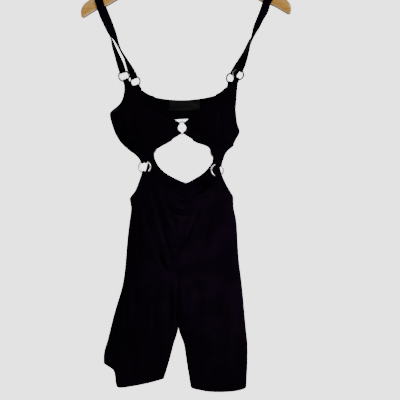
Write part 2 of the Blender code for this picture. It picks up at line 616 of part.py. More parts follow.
def make_strap(side, cloth_material):
    along = STRAP_STATIONS[side]
    over = [(*on_hanger(along, above, depth), 0.0) for above, depth in over_the_arm()]
    front = smooth([over[0], *STRANDS[side]["front"]], 2)[1:]
    back = smooth([over[-1], *STRANDS[side]["back"]], 2)[1:]
    strands = []
    for part in (front, over, back):
        part = np.array(part)
        strands.append((part[:, :3], part[:, 3]))
    arm_width = on_hanger(along + 0.5, 0, 0) - on_hanger(along - 0.5, 0, 0)
    arm_width = unit(arm_width) * math.copysign(1, arm_width[0])
    shares = np.array((-0.5, -0.25, 0, 0.25, 0.5)) * STRAP_WIDTH
    over_rows = strands[1][0][:, None] + shares[None, :, None] * arm_width
    front_rows, back_rows = strap_rows(*strands[0]), strap_rows(*strands[2])
    grids = [
        turned_over(f"ring_strap_front_{side}", front_rows[-1], STRAP_GRIP),
        np.vstack([front_rows[::-1], over_rows, back_rows]),
        turned_over(f"ring_strap_back_{side}", back_rows[-1], STRAP_GRIP),
    ]
    return cloth(f"strap_{side}", grids, cloth_material)


# ---------------------------------------------------------------- the hanger


def make_hanger_wood(wood, pivot):
    """Two falling arms and a taller neck, cut from a board and rounded along all its edges."""
    upper, lower = board_edge(1), board_edge(-1)
    outline = np.vstack([upper * (-1, 1), lower[::-1] * (-1, 1), lower, upper[::-1]])
    outline[:, 0] += WOOD_ASIDE
    board = bmesh.new()
    corners = [board.verts.new((x * MM, -ARM_THICK / 2 * MM, z * MM)) for x, z in outline]
    face = board.faces.new(corners)
    grown = bmesh.ops.extrude_face_region(board, geom=[face])["geom"]
    moved = [item for item in grown if isinstance(item, bmesh.types.BMVert)]
    bmesh.ops.translate(board, verts=moved, vec=(0, ARM_THICK * MM, 0))
    bmesh.ops.recalc_face_normals(board, faces=board.faces)
    mesh = bpy.data.meshes.new("hanger_wood")
    board.to_mesh(mesh)
    board.free()
    obj = link("hanger_wood", mesh)
    obj.parent = pivot
    rounding = obj.modifiers.new("Rounding", "BEVEL")
    rounding.width = ARM_ROUND * MM
    rounding.segments = 3
    rounding.limit_method = "ANGLE"
    rounding.angle_limit = math.radians(60)
    return finish(obj, wood)


def board_edge(way):
    """The upper or the lower edge of one arm, from the neck out to the arm's end."""
    starts, meets = TIP_UPPER if way > 0 else TIP_LOWER
    arm = np.linspace(NECK_FLAT, starts, 16)
    slope = ARM_FALL * ARM_POWER * arm ** (ARM_POWER - 1)
    half = np.full(len(arm), ARM_HALF_HEIGHT)
    if way < 0:
        slim = 1 / (1 + np.exp((TIP_SLIMS_AT - arm) / TIP_SLIMS_OVER))
        half = mix(ARM_LOWER_HALF, TIP_LOWER_HALF, slim)
    half = (half + NECK_EXTRA * np.exp(-((arm / NECK_REACH) ** 2))) * np.hypot(1, slope)
    turn = np.radians(np.linspace(0, 90, 8)[1:])
    reach = starts + (HALF_SPAN - starts) * np.sin(turn) ** (2 / TIP_POWER)
    height = meets + (way * half[-1] - meets) * np.clip(np.cos(turn), 0, 1) ** (2 / TIP_POWER)
    along = np.concatenate([arm, reach])
    off = np.concatenate([way * half, height])
    return np.stack([along, NECK_Z - ARM_FALL * along**ARM_POWER + off], axis=1)


def make_hanger_hook(steel, pivot):
    """A bent wire: a straight shank in the neck, a sideways bend and the open hook over the rail."""
    radius = HOOK_RADIUS + HOOK_WIRE
    neck_top = NECK_Z + ARM_HALF_HEIGHT + NECK_EXTRA
    shank = [(aside, neck_top + above) for aside, above in SHANK]
    bend = np.radians(np.linspace(HOOK_FROM, HOOK_TO, 17))
    hook = [(radius * math.cos(a), radius * math.sin(a) - HOOK_RADIUS) for a in bend]
    curve = bpy.data.curves.new("hanger_hook", "CURVE")
    curve.dimensions = "3D"
    curve.bevel_depth = HOOK_WIRE * MM
    curve.bevel_resolution = 2
    curve.use_fill_caps = True
    spline = curve.splines.new("POLY")
    route = shank + hook
    spline.points.add(len(route) - 1)
    for point, (x, z) in zip(spline.points, route):
        point.co = (x * MM, 0, z * MM, 1)
    obj = link("hanger_hook", curve)
    obj.parent = pivot
    curve.materials.append(steel)
    return obj


# ---------------------------------------------------------------- the object


def main():
    for old in list(bpy.data.objects):
        bpy.data.objects.remove(old, do_unlink=True)
    jersey = material("black_jersey", (0.006, 0.005, 0.008), 0.75)
    satin = material("black_satin", (0.012, 0.012, 0.014), 0.35)
    nickel = material("nickel", (0.72, 0.70, 0.68), 0.22, 1.0)
    steel = material("hook_steel", (0.66, 0.66, 0.67), 0.28, 1.0)
    wood = material("clear_wood", (0.46, 0.28, 0.10), 0.45)

    pivot = link("hanger_pivot", None)
    pivot.rotation_euler = (0, -math.radians(HANGER_TILT), 0)
    make_hanger_wood(wood, pivot)
    make_hanger_hook(steel, pivot)
    for name in RINGS:
        make_ring(name, nickel)
    for side in ("left", "right"):
        make_strap(side, jersey)
    make_cup("cup_left", "left", CUP_LEFT, jersey)
    make_cup("cup_right", "right", CUP_RIGHT, jersey)
    make_back_band(jersey, satin)
    make_shorts(jersey)


main()
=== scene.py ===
"""The looks of a black jersey romper with cut-outs and ring joints, hung by its straps on a wooden hanger.

Tables are in millimetres and Blender's own sizes in metres.  The front faces -Y, and left is the -X side.
"""

import math

import bpy
import numpy as np
from mathutils import Matrix, Vector


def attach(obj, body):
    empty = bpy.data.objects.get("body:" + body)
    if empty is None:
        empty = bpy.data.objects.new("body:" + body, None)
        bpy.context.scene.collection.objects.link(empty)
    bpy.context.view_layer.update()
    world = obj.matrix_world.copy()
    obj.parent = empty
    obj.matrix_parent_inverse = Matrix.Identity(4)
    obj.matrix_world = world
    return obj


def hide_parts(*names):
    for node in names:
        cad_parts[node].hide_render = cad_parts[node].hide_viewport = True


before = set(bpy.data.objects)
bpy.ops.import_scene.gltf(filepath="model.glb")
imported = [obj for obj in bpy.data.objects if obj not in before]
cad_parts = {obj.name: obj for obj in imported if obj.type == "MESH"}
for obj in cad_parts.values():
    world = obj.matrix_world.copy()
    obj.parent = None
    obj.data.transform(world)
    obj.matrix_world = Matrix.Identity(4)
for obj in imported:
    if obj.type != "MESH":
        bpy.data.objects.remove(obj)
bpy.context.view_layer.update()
MM = 0.001


# ==== Hanger wood ====
# Two falling arms and a taller neck, sawn from one board of pale hardwood, rounded along every edge,
# sanded and varnished clear.  The hook is driven into its neck, and the straps hang over its arms.

HALF_SPAN = 225.0
HANGER_TILT = 1.0  # degrees, its left end hangs lower
WOOD_ASIDE = -3.3  # the middle of the wood, from the middle of the hook's bend
ARM_THICK = 12.0
ARM_HALF_HEIGHT = 14.0
ARM_LOWER_HALF, TIP_LOWER_HALF = 17.0, 11.7  # below the middle line: within the straps and beyond them
TIP_SLIMS_AT, TIP_SLIMS_OVER = 177.0, 4.0
TIP_UPPER = (207.0, 2.0)  # where the upper edge starts to round down to the end, and how high it meets it
TIP_LOWER = (213.0, -0.5)
TIP_POWER = 2.5  # a higher one gives a squarer corner
NECK_EXTRA = 6.0
NECK_REACH = 40.0
NECK_FLAT = 4.0
NECK_Z = -83.6
ARM_FALL, ARM_POWER = 0.1293, 1.25
ARM_ROUND, ROUND_STEPS = 3.5, 6
ARM_POINTS, TIP_POINTS = 60, 18  # along each edge of one arm, and round its end
GRAIN_FALL = -24  # degrees that the grain falls towards each end


def only(obj):
    """Selects this object alone and makes it the active one."""
    bpy.ops.object.select_all(action="DESELECT")
    obj.select_set(True)
    bpy.context.view_layer.objects.active = obj


def in_edit(obj, work):
    """Runs the work with everything on the object selected in edit mode."""
    only(obj)
    bpy.ops.object.mode_set(mode="EDIT")
    bpy.ops.mesh.select_all(action="SELECT")
    work()
    bpy.ops.object.mode_set(mode="OBJECT")


def modify(obj, kind, **settings):
    """Adds a modifier, sets it and applies it."""
    only(obj)
    bpy.ops.object.modifier_add(type=kind)
    modifier = obj.modifiers[-1]
    for name, value in settings.items():
        setattr(modifier, name, value)
    bpy.ops.object.modifier_apply(modifier=modifier.name)


def place_points(obj, points):
    obj.data.vertices.foreach_set("co", np.ascontiguousarray(points, dtype=np.float32).ravel())
    obj.data.update()


def added(name, data):
    """A new object with this data, in the scene."""
    obj = bpy.data.objects.new(name, data)
    bpy.context.scene.collection.objects.link(obj)
    return obj


def points_of(obj):
    points = np.empty(len(obj.data.vertices) * 3, np.float32)
    obj.data.vertices.foreach_get("co", points)
    return points.reshape(-1, 3).astype(float)


def tilted(points):
    """Turned about the hook's top, as the hanger hangs."""
    tilt = math.radians(HANGER_TILT)
    x, y, z = np.moveaxis(np.asarray(points, float), -1, 0)
    return np.stack([x * math.cos(tilt) - z * math.sin(tilt), y, x * math.sin(tilt) + z * math.cos(tilt)], -1)


def arm_middle(along):
    """Height of the wood's middle line at this place along the hanger."""
    return NECK_Z - ARM_FALL * np.abs(along - WOOD_ASIDE) ** ARM_POWER


def finish_of(name, **sockets):
    """A material whose shader's own sockets have these values, and its node tree."""
    made = bpy.data.materials.new(name)
    made.use_nodes = True
    shader = made.node_tree.nodes["Principled BSDF"]
    for socket, value in sockets.items():
        shader.inputs[socket.replace("_", " ")].default_value = value
    return made, made.node_tree


def node(tree, kind, sockets=(), **settings):
    """A new node, with a value or another node's output on each named socket."""
    made = tree.nodes.new("ShaderNode" + kind)
    for name, value in settings.items():
        setattr(made, name, value)
    for socket, value in dict(sockets).items():
        if isinstance(value, bpy.types.NodeSocket):
            tree.links.new(value, made.inputs[socket])
        else:
            made.inputs[socket].default_value = value
    return made


def first(tree, kind, sockets=(), **settings):
    """The first output of a new node."""
    return node(tree, kind, sockets, **settings).outputs[0]


def maths(tree, operation, *values):
    return first(tree, "Math", dict(enumerate(values)), operation=operation)


def noise(tree, place, scale, detail, **more):
    return first(tree, "TexNoise", {"Vector": place, "Scale": scale, "Detail": detail, **more})


def ranged(tree, value, *ends):
    """The value carried from its first two ends to the other two, or else to 0 and 1."""
    return first(tree, "MapRange", {"Value": value, **dict(enumerate(ends, 1))})


def blended(tree, share, none, full):
    return first(tree, "MixRGB", {"Fac": share, "Color1": none, "Color2": full})


def bumped(tree, height, strength, distance):
    return first(tree, "Bump", {"Height": height, "Strength": strength, "Distance": distance})


def on_body(tree):
    return node(tree, "TexCoord").outputs["Object"]


def axes(tree, vector):
    return node(tree, "SeparateXYZ", {0: vector}).outputs


def ramp(tree, factor, *stops):
    """Colours between stops of place and colour."""
    made = node(tree, "ValToRGB", {"Fac": factor})
    elements = made.color_ramp.elements
    while len(elements) < len(stops):
        elements.new(0.5)
    for element, (place, colour) in zip(elements, stops):
        element.position = place
        element.color = (*colour, 1.0)
    return made.outputs["Color"]


def into_shader(tree, **links):
    shader = tree.nodes["Principled BSDF"]
    for socket, output in links.items():
        tree.links.new(output, shader.inputs[socket.replace("_", " ")])


def varnished_wood():
    """Grain drawn out along each arm, with fine pores, painted shade towards the right end, a painted
    highlight where the edge turns down and painted shade on the underside.
    """
    made, tree = finish_of("varnished_wood", Roughness=0.42, Coat_Weight=0.25, Coat_Roughness=0.2)
    place = axes(tree, on_body(tree))
    aside = maths(tree, "ABSOLUTE", place["X"])
    folded = first(tree, "CombineXYZ", {"X": aside, "Y": place["Y"], "Z": place["Z"]})
    lay = {"Vector": folded, "Rotation": (0, math.radians(GRAIN_FALL), 0)}
    grain = noise(tree, first(tree, "Mapping", {**lay, "Scale": (9, 60, 190)}), 1.0, 5, Roughness=0.6)
    pores = noise(tree, first(tree, "Mapping", {**lay, "Scale": (60, 500, 1600)}), 1.0, 3)
    both = maths(tree, "MULTIPLY_ADD", pores, 0.3, grain)
    face = ramp(
        tree, both,
        (0.48, (0.36, 0.150, 0.002)), (0.62, (0.44, 0.195, 0.004)), (0.8, (0.53, 0.26, 0.012)),
    )
    # Painted shade: the face is darkened towards the right end, where the key light falls stronger.
    right_end_painted_shade = ranged(tree, place["X"], -0.12, 0.16, 0.0, 0.34)
    face = blended(tree, right_end_painted_shade, face, (0.26, 0.105, 0.004, 1))
    # Painted light by the way the surface faces: a pale band where the lower edge turns down is a painted
    # highlight, and the browner underside is painted shade.
    up = axes(tree, node(tree, "NewGeometry").outputs["Normal"])["Z"]
    painted_edge_highlight = blended(tree, ranged(tree, up, -0.05, -0.45), face, (0.86, 0.56, 0.29, 1))
    edge = blended(tree, ranged(tree, up, -0.70, -0.92), painted_edge_highlight, (0.44, 0.23, 0.13, 1))
    into_shader(tree, Base_Color=edge, Normal=bumped(tree, both, 0.25, 0.0004))
    return made


def board_edge(way):
    """The upper (1) or lower (-1) edge of one arm, from the neck out to the arm's end, in x and z."""
    starts, meets = TIP_UPPER if way > 0 else TIP_LOWER
    arm = np.linspace(NECK_FLAT, starts, ARM_POINTS)
    slope = ARM_FALL * ARM_POWER * arm ** (ARM_POWER - 1)
    slim = 1 / (1 + np.exp((TIP_SLIMS_AT - arm) / TIP_SLIMS_OVER))
    lower_half = ARM_LOWER_HALF + (TIP_LOWER_HALF - ARM_LOWER_HALF) * slim
    half = np.full(len(arm), ARM_HALF_HEIGHT) if way > 0 else lower_half
    half = (half + NECK_EXTRA * np.exp(-((arm / NECK_REACH) ** 2))) * np.hypot(1, slope)
    turn = np.radians(np.linspace(5, 90, TIP_POINTS))
    reach = starts + (HALF_SPAN - starts) * np.sin(turn) ** (2 / TIP_POWER)
    height = meets + (way * half[-1] - meets) * np.clip(np.cos(turn), 0, 1) ** (2 / TIP_POWER)
    along = np.concatenate([arm, reach])
    off = np.concatenate([way * half, height])
    return np.stack([along, NECK_Z - ARM_FALL * along**ARM_POWER + off], 1)


def board_outline():
    """Upper and lower edge of the board, from its left end to its right one."""
    edges = [board_edge(way) for way in (1, -1)]
    return [np.vstack([edge[::-1] * (-1, 1), edge]) + (WOOD_ASIDE, 0) for edge in edges]


def model_wood():
    upper, lower = board_outline()
    bpy.ops.mesh.primitive_grid_add(x_subdivisions=len(upper) - 1, y_subdivisions=1, size=1)
    board = bpy.context.active_object
    board.name = board.data.name = "varnished_hanger"
    outline = np.vstack([lower, upper]) * MM
    face = np.stack([outline[:, 0], np.full(len(outline), -ARM_THICK / 2 * MM), outline[:, 1]], -1)
    place_points(board, tilted(face))

    def thicken():
        bpy.ops.mesh.remove_doubles(threshold=0.02 * MM)
        bpy.ops.mesh.dissolve_faces()
        bpy.ops.mesh.extrude_region_move(TRANSFORM_OT_translate={"value": (0, ARM_THICK * MM, 0)})
        bpy.ops.mesh.select_all(action="SELECT")
        bpy.ops.mesh.normals_make_consistent(inside=False)

    in_edit(board, thicken)
    modify(
        board, "BEVEL", width=ARM_ROUND * MM, segments=ROUND_STEPS, limit_method="ANGLE",
        angle_limit=math.radians(60), harden_normals=True,
    )
    bpy.ops.object.shade_smooth_by_angle(angle=math.radians(40))
    board.data.materials.append(varnished_wood())
    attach(board, "root")
    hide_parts("hanger_wood")


model_wood()


# ==== Hanger hook ====
# One length of bright steel wire: a straight shank driven into the neck, a sideways bend, and the open
# hook that drops over a rail, its cut end rounded over.

HOOK_WIRE = 1.8
HOOK_RADIUS = 18.0
HOOK_FROM, HOOK_TO = -42, 200  # degrees round the bend
HOOK_POINTS, SHANK_STEPS = 62, 5  # points round the bend, and in each gap of the shank
SHANK_FOOT = -3.0  # it goes this far into the wood
SHANK = ((-3.3, SHANK_FOOT), (-3.3, 12.0), (-2.0, 20.0), (3.2, 27.0))


def bright_steel():
    made, tree = finish_of("bright_steel", Metallic=1.0, Base_Color=(0.62, 0.62, 0.63, 1), Roughness=0.25)
    drawn = first(tree, "Mapping", {"Vector": on_body(tree), "Scale": (900, 900, 60)})
    lines = noise(tree, drawn, 1.0, 2)
    rough = ranged(tree, lines, 0.3, 0.7, 0.2, 0.34)
    into_shader(tree, Roughness=rough, Normal=bumped(tree, lines, 0.15, 0.0001))
    return made


def smooth(table, steps):
    """Each gap between rows in this many steps, on curves that pass through the rows and never overshoot."""
    rows = np.array(table, float)
    change = np.diff(rows, axis=0)
    same_way = change[:-1] * change[1:] > 0
    total = np.where(same_way, change[:-1] + change[1:], 1.0)
    slope = np.zeros_like(rows)
    slope[1:-1] = np.where(same_way, 2 * change[:-1] * change[1:] / total, 0.0)
    slope[0], slope[-1] = change[0], change[-1]
    t = (np.arange(steps) / steps)[None, :, None]
    start, end = rows[:-1, None], rows[1:, None]
    out, into = slope[:-1, None], slope[1:, None]
    curve = (
        (2 * t**3 - 3 * t**2 + 1) * start
        + (t**3 - 2 * t**2 + t) * out
        + (3 * t**2 - 2 * t**3) * end
        + (t**3 - t**2) * into
    )
    return np.vstack([curve.reshape(-1, rows.shape[1]), rows[-1:]])


def model_hook():
    radius = HOOK_RADIUS + HOOK_WIRE
    neck_top = NECK_Z + ARM_HALF_HEIGHT + NECK_EXTRA
    bend = np.radians(np.linspace(HOOK_FROM, HOOK_TO, HOOK_POINTS))
    shank = smooth([(aside, 0, neck_top + above) for aside, above in SHANK], SHANK_STEPS)
    hook = np.stack([radius * np.cos(bend), 0 * bend, radius * np.sin(bend) - HOOK_RADIUS], -1)
    route = tilted(np.vstack([shank, hook])) * MM
    curve = bpy.data.curves.new("bent_wire", "CURVE")
    curve.dimensions = "3D"
    curve.bevel_depth = HOOK_WIRE * MM
    curve.bevel_resolution = 6
    curve.use_fill_caps = True
    spline = curve.splines.new("POLY")
    spline.points.add(len(route) - 1)
    for point, place in zip(spline.points, route):
        point.co = (*place, 1)
    only(added("bent_hook", curve))
    bpy.ops.object.convert(target="MESH")
    wire = bpy.context.active_object
    for end in route[[0, -1]]:
        bpy.ops.mesh.primitive_uv_sphere_add(segments=16, ring_count=10, radius=HOOK_WIRE * MM, location=end)
        bpy.ops.object.transform_apply(location=True, rotation=True, scale=True)
        cap = bpy.context.active_object
        only(wire)
        cap.select_set(True)
        bpy.ops.object.join()
    only(wire)
    bpy.ops.object.shade_smooth_by_angle(angle=math.radians(60))
    wire.data.materials.clear()
    wire.data.materials.append(bright_steel())
    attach(wire, "root")
    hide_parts("hanger_hook")


model_hook()


# ==== Rings ====
# Nine round rings of nickel-plated wire, butt-welded and polished.  They join strap to bodice, cup to cup
# and bodice to shorts, and each is held only by the cloth that is turned over it.

SMALL_RING = (11.1, 1.8)  # middle radius and wire radius
LARGE_RING = (12.6, 1.8)

# x, y and z of the centre, the size, the degrees it is turned from facing forward, and where its weld is
RINGS = {
    "ring_strap_front_left": (-131.6, -12.0, -335.8, SMALL_RING, 0, 200),
    "ring_strap_back_left": (-109.1, 9.0, -344.3, SMALL_RING, -22, 10),
    "ring_strap_front_right": (111.3, -12.0, -332.6, SMALL_RING, 0, 170),
    "ring_strap_back_right": (97.8, 9.0, -336.9, SMALL_RING, -14, 345),
    "ring_centre": (-7.9, -20.0, -446.6, LARGE_RING, 0, 265),
    "ring_waist_front_left": (-87.7, -12.0, -528.8, LARGE_RING, 0, 185),
    "ring_waist_front_right": (67.0, -12.0, -535.7, LARGE_RING, 0, 352),
    "ring_waist_back_left": (-77.5, 10.0, -488.1, LARGE_RING, 0, 20),
    "ring_waist_back_right": (65.3, 10.0, -495.2, LARGE_RING, 0, 160),
}
RING_STEPS, WIRE_STEPS = 96, 20
WELD_WIDTH, WELD_PINCH = 5.0, 0.07  # degrees of the ring, and share of the wire's radius


def plated_nickel(name, shade):
    """Bright plate with faint polishing marks, and duller patches where fingers and cloth have rubbed; shade
    scales the whole colour as painted reflection, dark for rings that mirror a dark room, bright for those
    that mirror the light.
    """
    made, tree = finish_of(name, Metallic=1.0, Roughness=0.16)
    patches, marks = noise(tree, on_body(tree), 140, 3), noise(tree, on_body(tree), 2500, 2)
    dull, bright = [tuple(shade * part for part in tone) for tone in ((0.66, 0.64, 0.60), (0.80, 0.79, 0.76))]
    colour = ramp(tree, patches, (0.35, dull), (0.65, bright))
    rough = ranged(tree, patches, 0.3, 0.7, 0.12, 0.24)
    into_shader(tree, Base_Color=colour, Roughness=rough, Normal=bumped(tree, marks, 0.12, 0.00005))
    return made


# Painted reflection: one nickel plate made twice, the strap rings painted nearly black and the larger rings
# bright, as shaded and lit copies.
nickel = {SMALL_RING: plated_nickel("nickel_painted_dark", 0.08), LARGE_RING: plated_nickel("nickel_painted_bright", 0.85)}


def ring_turn(name):
    return Matrix.Rotation(math.radians(RINGS[name][4]), 3, "Z")


def model_ring(name):
    x, y, z, (radius, wire), _, weld = RINGS[name]
    bpy.ops.mesh.primitive_torus_add(
        major_radius=radius * MM, minor_radius=wire * MM,
        major_segments=RING_STEPS, minor_segments=WIRE_STEPS,
    )
    ring = bpy.context.active_object
    ring.name = ring.data.name = name + "_wire"
    points = points_of(ring)
    angle = np.arctan2(points[:, 1], points[:, 0])
    past_weld = np.degrees(np.angle(np.exp(1j * (angle - math.radians(weld)))))
    pinch = 1 - WELD_PINCH * np.exp(-((past_weld / WELD_WIDTH) ** 2))
    middle = np.stack([np.cos(angle), np.sin(angle), np.zeros_like(angle)], -1) * radius * MM
    points = middle + (points - middle) * pinch[:, None]
    turn = np.array(ring_turn(name) @ Matrix.Rotation(math.radians(90), 3, "X"))
    place_points(ring, points @ turn.T + np.array((x, y, z)) * MM)
    bpy.ops.object.shade_smooth()
    ring.data.materials.append(nickel[radius, wire])
    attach(ring, "root")
    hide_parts(name)


for ring_name in RINGS:
    model_ring(ring_name)


# ==== Straps ====
# Two flat ties of doubled black jersey, 18 mm wide.  Each hangs over an arm of the hanger, twists as it
# falls, and is turned over a ring at both ends and sewn down behind.

STRAP_WIDTH = 18.0
STRAP_WALL = 1.8
STRAP_COLUMNS, STRAND_STEPS = 13, 9
WALE, COURSE = 0.0011, 0.0008  # width and height of a knitted loop, in metres
WALL = 1.2
CLEAR = 0.3
LOOP_EASE = 1.2  # between a ring's wire and the cloth turned over it
LOOP_BENDS = np.arange(180, -1, -20)  # degrees, from behind the wire round to before it
LOOP_SEWN_AT = 0.8  # how far the turned end runs back from the wire towards the piece's own base row
LOOP_BEHIND = 2 * WALL + 0.6
TAB_GRIP, STRAP_GRIP, CENTRE_GRIP = (34, 34), (38, 38), (67, 76)  # degrees held towards a row's two ends
STRAP_TOPS = {"left": -184.4, "right": 176.0}  # along the arms
STRAP_LEANS = {"left": (0.25, 0.175), "right": (0.0, 0.0)}  # before and behind, off square to the arm
STRAP_CURLS = {"left": (0.0, 2.4), "right": (0.8, 0.8)}  # before and behind, across it where it is edge on
CURL_POWER = 4  # a higher one keeps the curl nearer to where the strap is edge on
STRAP_SETTLES = 14.0  # below the arm, where the width has turned from the arm's run to the strand's own
STRAP_CROWN, STRAP_RIPPLE = 0.45, 0.35
STRAP_WAVER = math.radians(5)  # how far the twist wavers
FACE_END, FACE_POINTS = 2.0, 9  # the flat of an arm's face ends this far under its rounded edge

# Middle line of each strand below the hanger: x, y, z, and its twist in degrees from facing forward
STRANDS = {
    ("front", "left"): (
        (-175.5, -8, -205, 16), (-169.3, -8.5, -222, 42),
        (-163.2, -9, -240, 70), (-159.3, -9.5, -255, 92),
        (-153.4, -10.5, -273, 110), (-146.3, -11.5, -292, 127),
        (-138, -12, -314.5, 146),
    ),
    ("back", "left"): (
        (-172.3, 7.5, -205, 4), (-165.4, 7.5, -222, 20),
        (-158.4, 8, -239, 42), (-150.8, 8, -256, 64),
        (-139.5, 8.5, -279, 92), (-130.2, 9, -297, 110),
        (-117.3, 9, -323.5, 145),
    ),
    ("front", "right"): (
        (168.8, -7.8, -189, 12), (161.6, -8, -205, 34),
        (153.9, -8.5, -222, 51), (145.7, -9, -240, 62),
        (139.6, -9.5, -256, 73), (133, -10.5, -273, 108),
        (126.6, -11.5, -290, 131), (118.3, -12, -312, 152),
    ),
    ("back", "right"): (
        (169.2, 7.5, -189, 8), (161.6, 7.5, -205, 34),
        (153.9, 7.5, -222, 52), (145.7, 8, -240, 80),
        (138.2, 8, -256, 105), (130.8, 8.5, -273, 117),
        (122.8, 9, -290, 128), (108.3, 9, -316.5, 148),
    ),
}


def black_jersey():
    """Fine viscose jersey knit in columns: dull black, a little violet, with painted light round the centre
    front and painted shade darker towards the cups, sides and hems.
    """
    made, tree = finish_of(
        "black_jersey", Roughness=0.8, Specular_IOR_Level=0.01,
        Sheen_Weight=0.004, Sheen_Roughness=0.5, Sheen_Tint=(0.62, 0.5, 0.8, 1),
    )
    place = axes(tree, first(tree, "UVMap", uv_map="knit"))
    wale = maths(tree, "MULTIPLY", place["X"], 2 * math.pi / WALE)
    course = maths(tree, "MULTIPLY", place["Y"], 2 * math.pi / COURSE)
    column = maths(tree, "SINE", wale)
    loop = maths(tree, "SINE", maths(tree, "MULTIPLY_ADD", column, 1.4, course))
    knit = maths(tree, "MULTIPLY_ADD", loop, 0.5, column)
    cloudy = noise(tree, on_body(tree), 22, 4, Roughness=0.55)
    tone = maths(tree, "MULTIPLY_ADD", noise(tree, on_body(tree), 900, 2), 0.25, cloudy)
    dyed = ramp(tree, tone, (0.5, (0.0035, 0.0012, 0.0046)), (0.8, (0.0063, 0.0024, 0.0083)))
    # Painted light and shade: the colour keeps its full tone round a point at the centre front, a little
    # right of the middle, and is painted darker with distance from it, down to 0.45 of its tone.
    lit_centre_place = {"Vector": on_body(tree), "Location": (-0.48, 0, 4.14), "Scale": (8, 0, 6)}
    reach = node(tree, "VectorMath", {0: first(tree, "Mapping", lit_centre_place)}, operation="LENGTH").outputs["Value"]
    colour = blended(tree, ranged(tree, reach, 0.5, 1.8, 0.0, 0.55), dyed, (0, 0, 0, 1))
    rough = ranged(tree, cloudy, 0.3, 0.7, 0.7, 0.84)
    into_shader(tree, Base_Color=colour, Roughness=rough, Normal=bumped(tree, knit, 0.35, 0.00012))
    return made


jersey = black_jersey()


def mix(a, b, share):
    return a + (b - a) * share


def unit(vector):
    return vector / np.linalg.norm(vector)


def travel(grid, axis):
    """How far each point of a grid lies along its row (1) or its column (0), over the cloth."""
    steps = np.linalg.norm(np.diff(grid[..., :3], axis=axis), axis=-1)
    start = np.zeros_like(steps.take([0], axis=axis))
    return np.cumsum(np.concatenate([start, steps], axis=axis), axis=axis)


def turned_over(ring, base, grip):
    """Rows of cloth from the sewn end behind, round the ring's wire and back to the piece's base row.

    base is the row of points where the piece starts to narrow on to the ring.  The cloth follows the
    ring's arc for so many degrees each way, passes before the wire, through the ring and down behind.
    """
    x, y, z, (radius, wire), *_ = RINGS[ring]
    base, rest = base[:, :3], base[:, 3:]
    centre = np.array((x, y, z))
    ahead = np.array(ring_turn(ring) @ Vector((0, -1, 0)))
    to_base = base.mean(axis=0) - centre
    to_base = unit(to_base - ahead * (to_base @ ahead))
    aside = np.cross(ahead, to_base)
    if aside @ (base[-1] - base[0]) < 0:
        aside = -aside
    done = travel(base[None], 1)[0]
    angle = np.radians(mix(-grip[0], grip[1], done / done[-1]))
    outward = np.cos(angle)[:, None] * to_base + np.sin(angle)[:, None] * aside
    on_wire = centre + radius * outward
    off = wire + LOOP_EASE + WALL / 2
    sewn = mix(on_wire, base, LOOP_SEWN_AT) - ahead * LOOP_BEHIND
    bends = np.radians(LOOP_BENDS)
    rows = [on_wire + off * (math.cos(bend) * ahead - math.sin(bend) * outward) for bend in bends]
    ends = [mix(sewn, rows[0], share) for share in (0, 0.25, 0.5, 0.75)]
    necks = [mix(rows[-1], base, share) for share in (0.2, 0.4, 0.6, 0.8)]
    rows = np.array([*ends, *rows, *necks, base])
    return np.concatenate([rows, np.broadcast_to(rest, (*rows.shape[:2], rest.shape[-1]))], -1)


def cloth(name, grids, wall, finish, outward):
    """A sheet of cloth: the grids' points, joined where they meet, raised where they stand proud, walled.

    A grid's point is x, y, z and how far it stands proud.  outward is the way that the face looks.
    """
    points, faces, knit = [], [], []
    for grid in grids:
        number = sum(map(len, points)) + np.arange(grid[..., 0].size).reshape(grid.shape[:2])
        corners = (number[:-1, :-1], number[1:, :-1], number[1:, 1:], number[:-1, 1:])
        faces.append(np.stack(corners, -1).reshape(-1, 4))
        knit.append(np.stack([travel(grid, 1), travel(grid, 0)], -1).reshape(-1, 2) * MM)
        points.append(grid.reshape(-1, 4))
    points, faces, knit = map(np.concatenate, (points, faces, knit))
    mesh = bpy.data.meshes.new(name)
    mesh.from_pydata((points[:, :3] * MM).tolist(), [], faces.tolist())
    mesh.uv_layers.new(name="knit").data.foreach_set("uv", knit[faces.ravel()].ravel())
    mesh.attributes.new("proud", "FLOAT", "POINT").data.foreach_set("value", points[:, 3] * MM)
    sheet = added(name, mesh)

    def join():
        bpy.ops.mesh.remove_doubles(threshold=0.01 * MM)
        bpy.ops.mesh.normals_make_consistent(inside=False)

    in_edit(sheet, join)
    normals = np.array([vertex.normal for vertex in mesh.vertices])
    if (normals @ np.array(outward)).sum() < 0:
        in_edit(sheet, bpy.ops.mesh.flip_normals)
        normals = -normals
    proud = np.empty(len(mesh.vertices), np.float32)
    mesh.attributes["proud"].data.foreach_get("value", proud)
    place_points(sheet, points_of(sheet) + normals * proud[:, None])
    mesh.attributes.remove(mesh.attributes["proud"])
    modify(sheet, "SOLIDIFY", thickness=wall * MM, offset=0.0)
    bpy.ops.object.shade_smooth_by_angle(angle=math.radians(50))
    mesh.materials.append(finish)
    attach(sheet, "root")
    return sheet


def on_hanger(along, above, depth):
    """A point from a place along the arm, a height square to the arm and a depth."""
    step = 0.5
    axis = unit(np.array((2 * step, arm_middle(along + step) - arm_middle(along - step))))
    return tilted((along - axis[1] * above, depth, arm_middle(along) + axis[0] * above))


def over_the_arm():
    """Heights and depths of the strap where it lies round the arm, from its front foot to its back foot."""
    clear = CLEAR + STRAP_WALL / 2
    corner = ARM_ROUND + clear
    face = ARM_THICK / 2 + clear
    top = ARM_HALF_HEIGHT + clear
    half = [(above, -face) for above in np.linspace(-ARM_HALF_HEIGHT, top - corner - FACE_END, FACE_POINTS)]
    for turn in np.radians(np.arange(0, 91, 15)):
        half.append((top - corner * (1 - math.sin(turn)), -face + corner * (1 - math.cos(turn))))
    return half + [(above, -depth) for above, depth in reversed(half)]


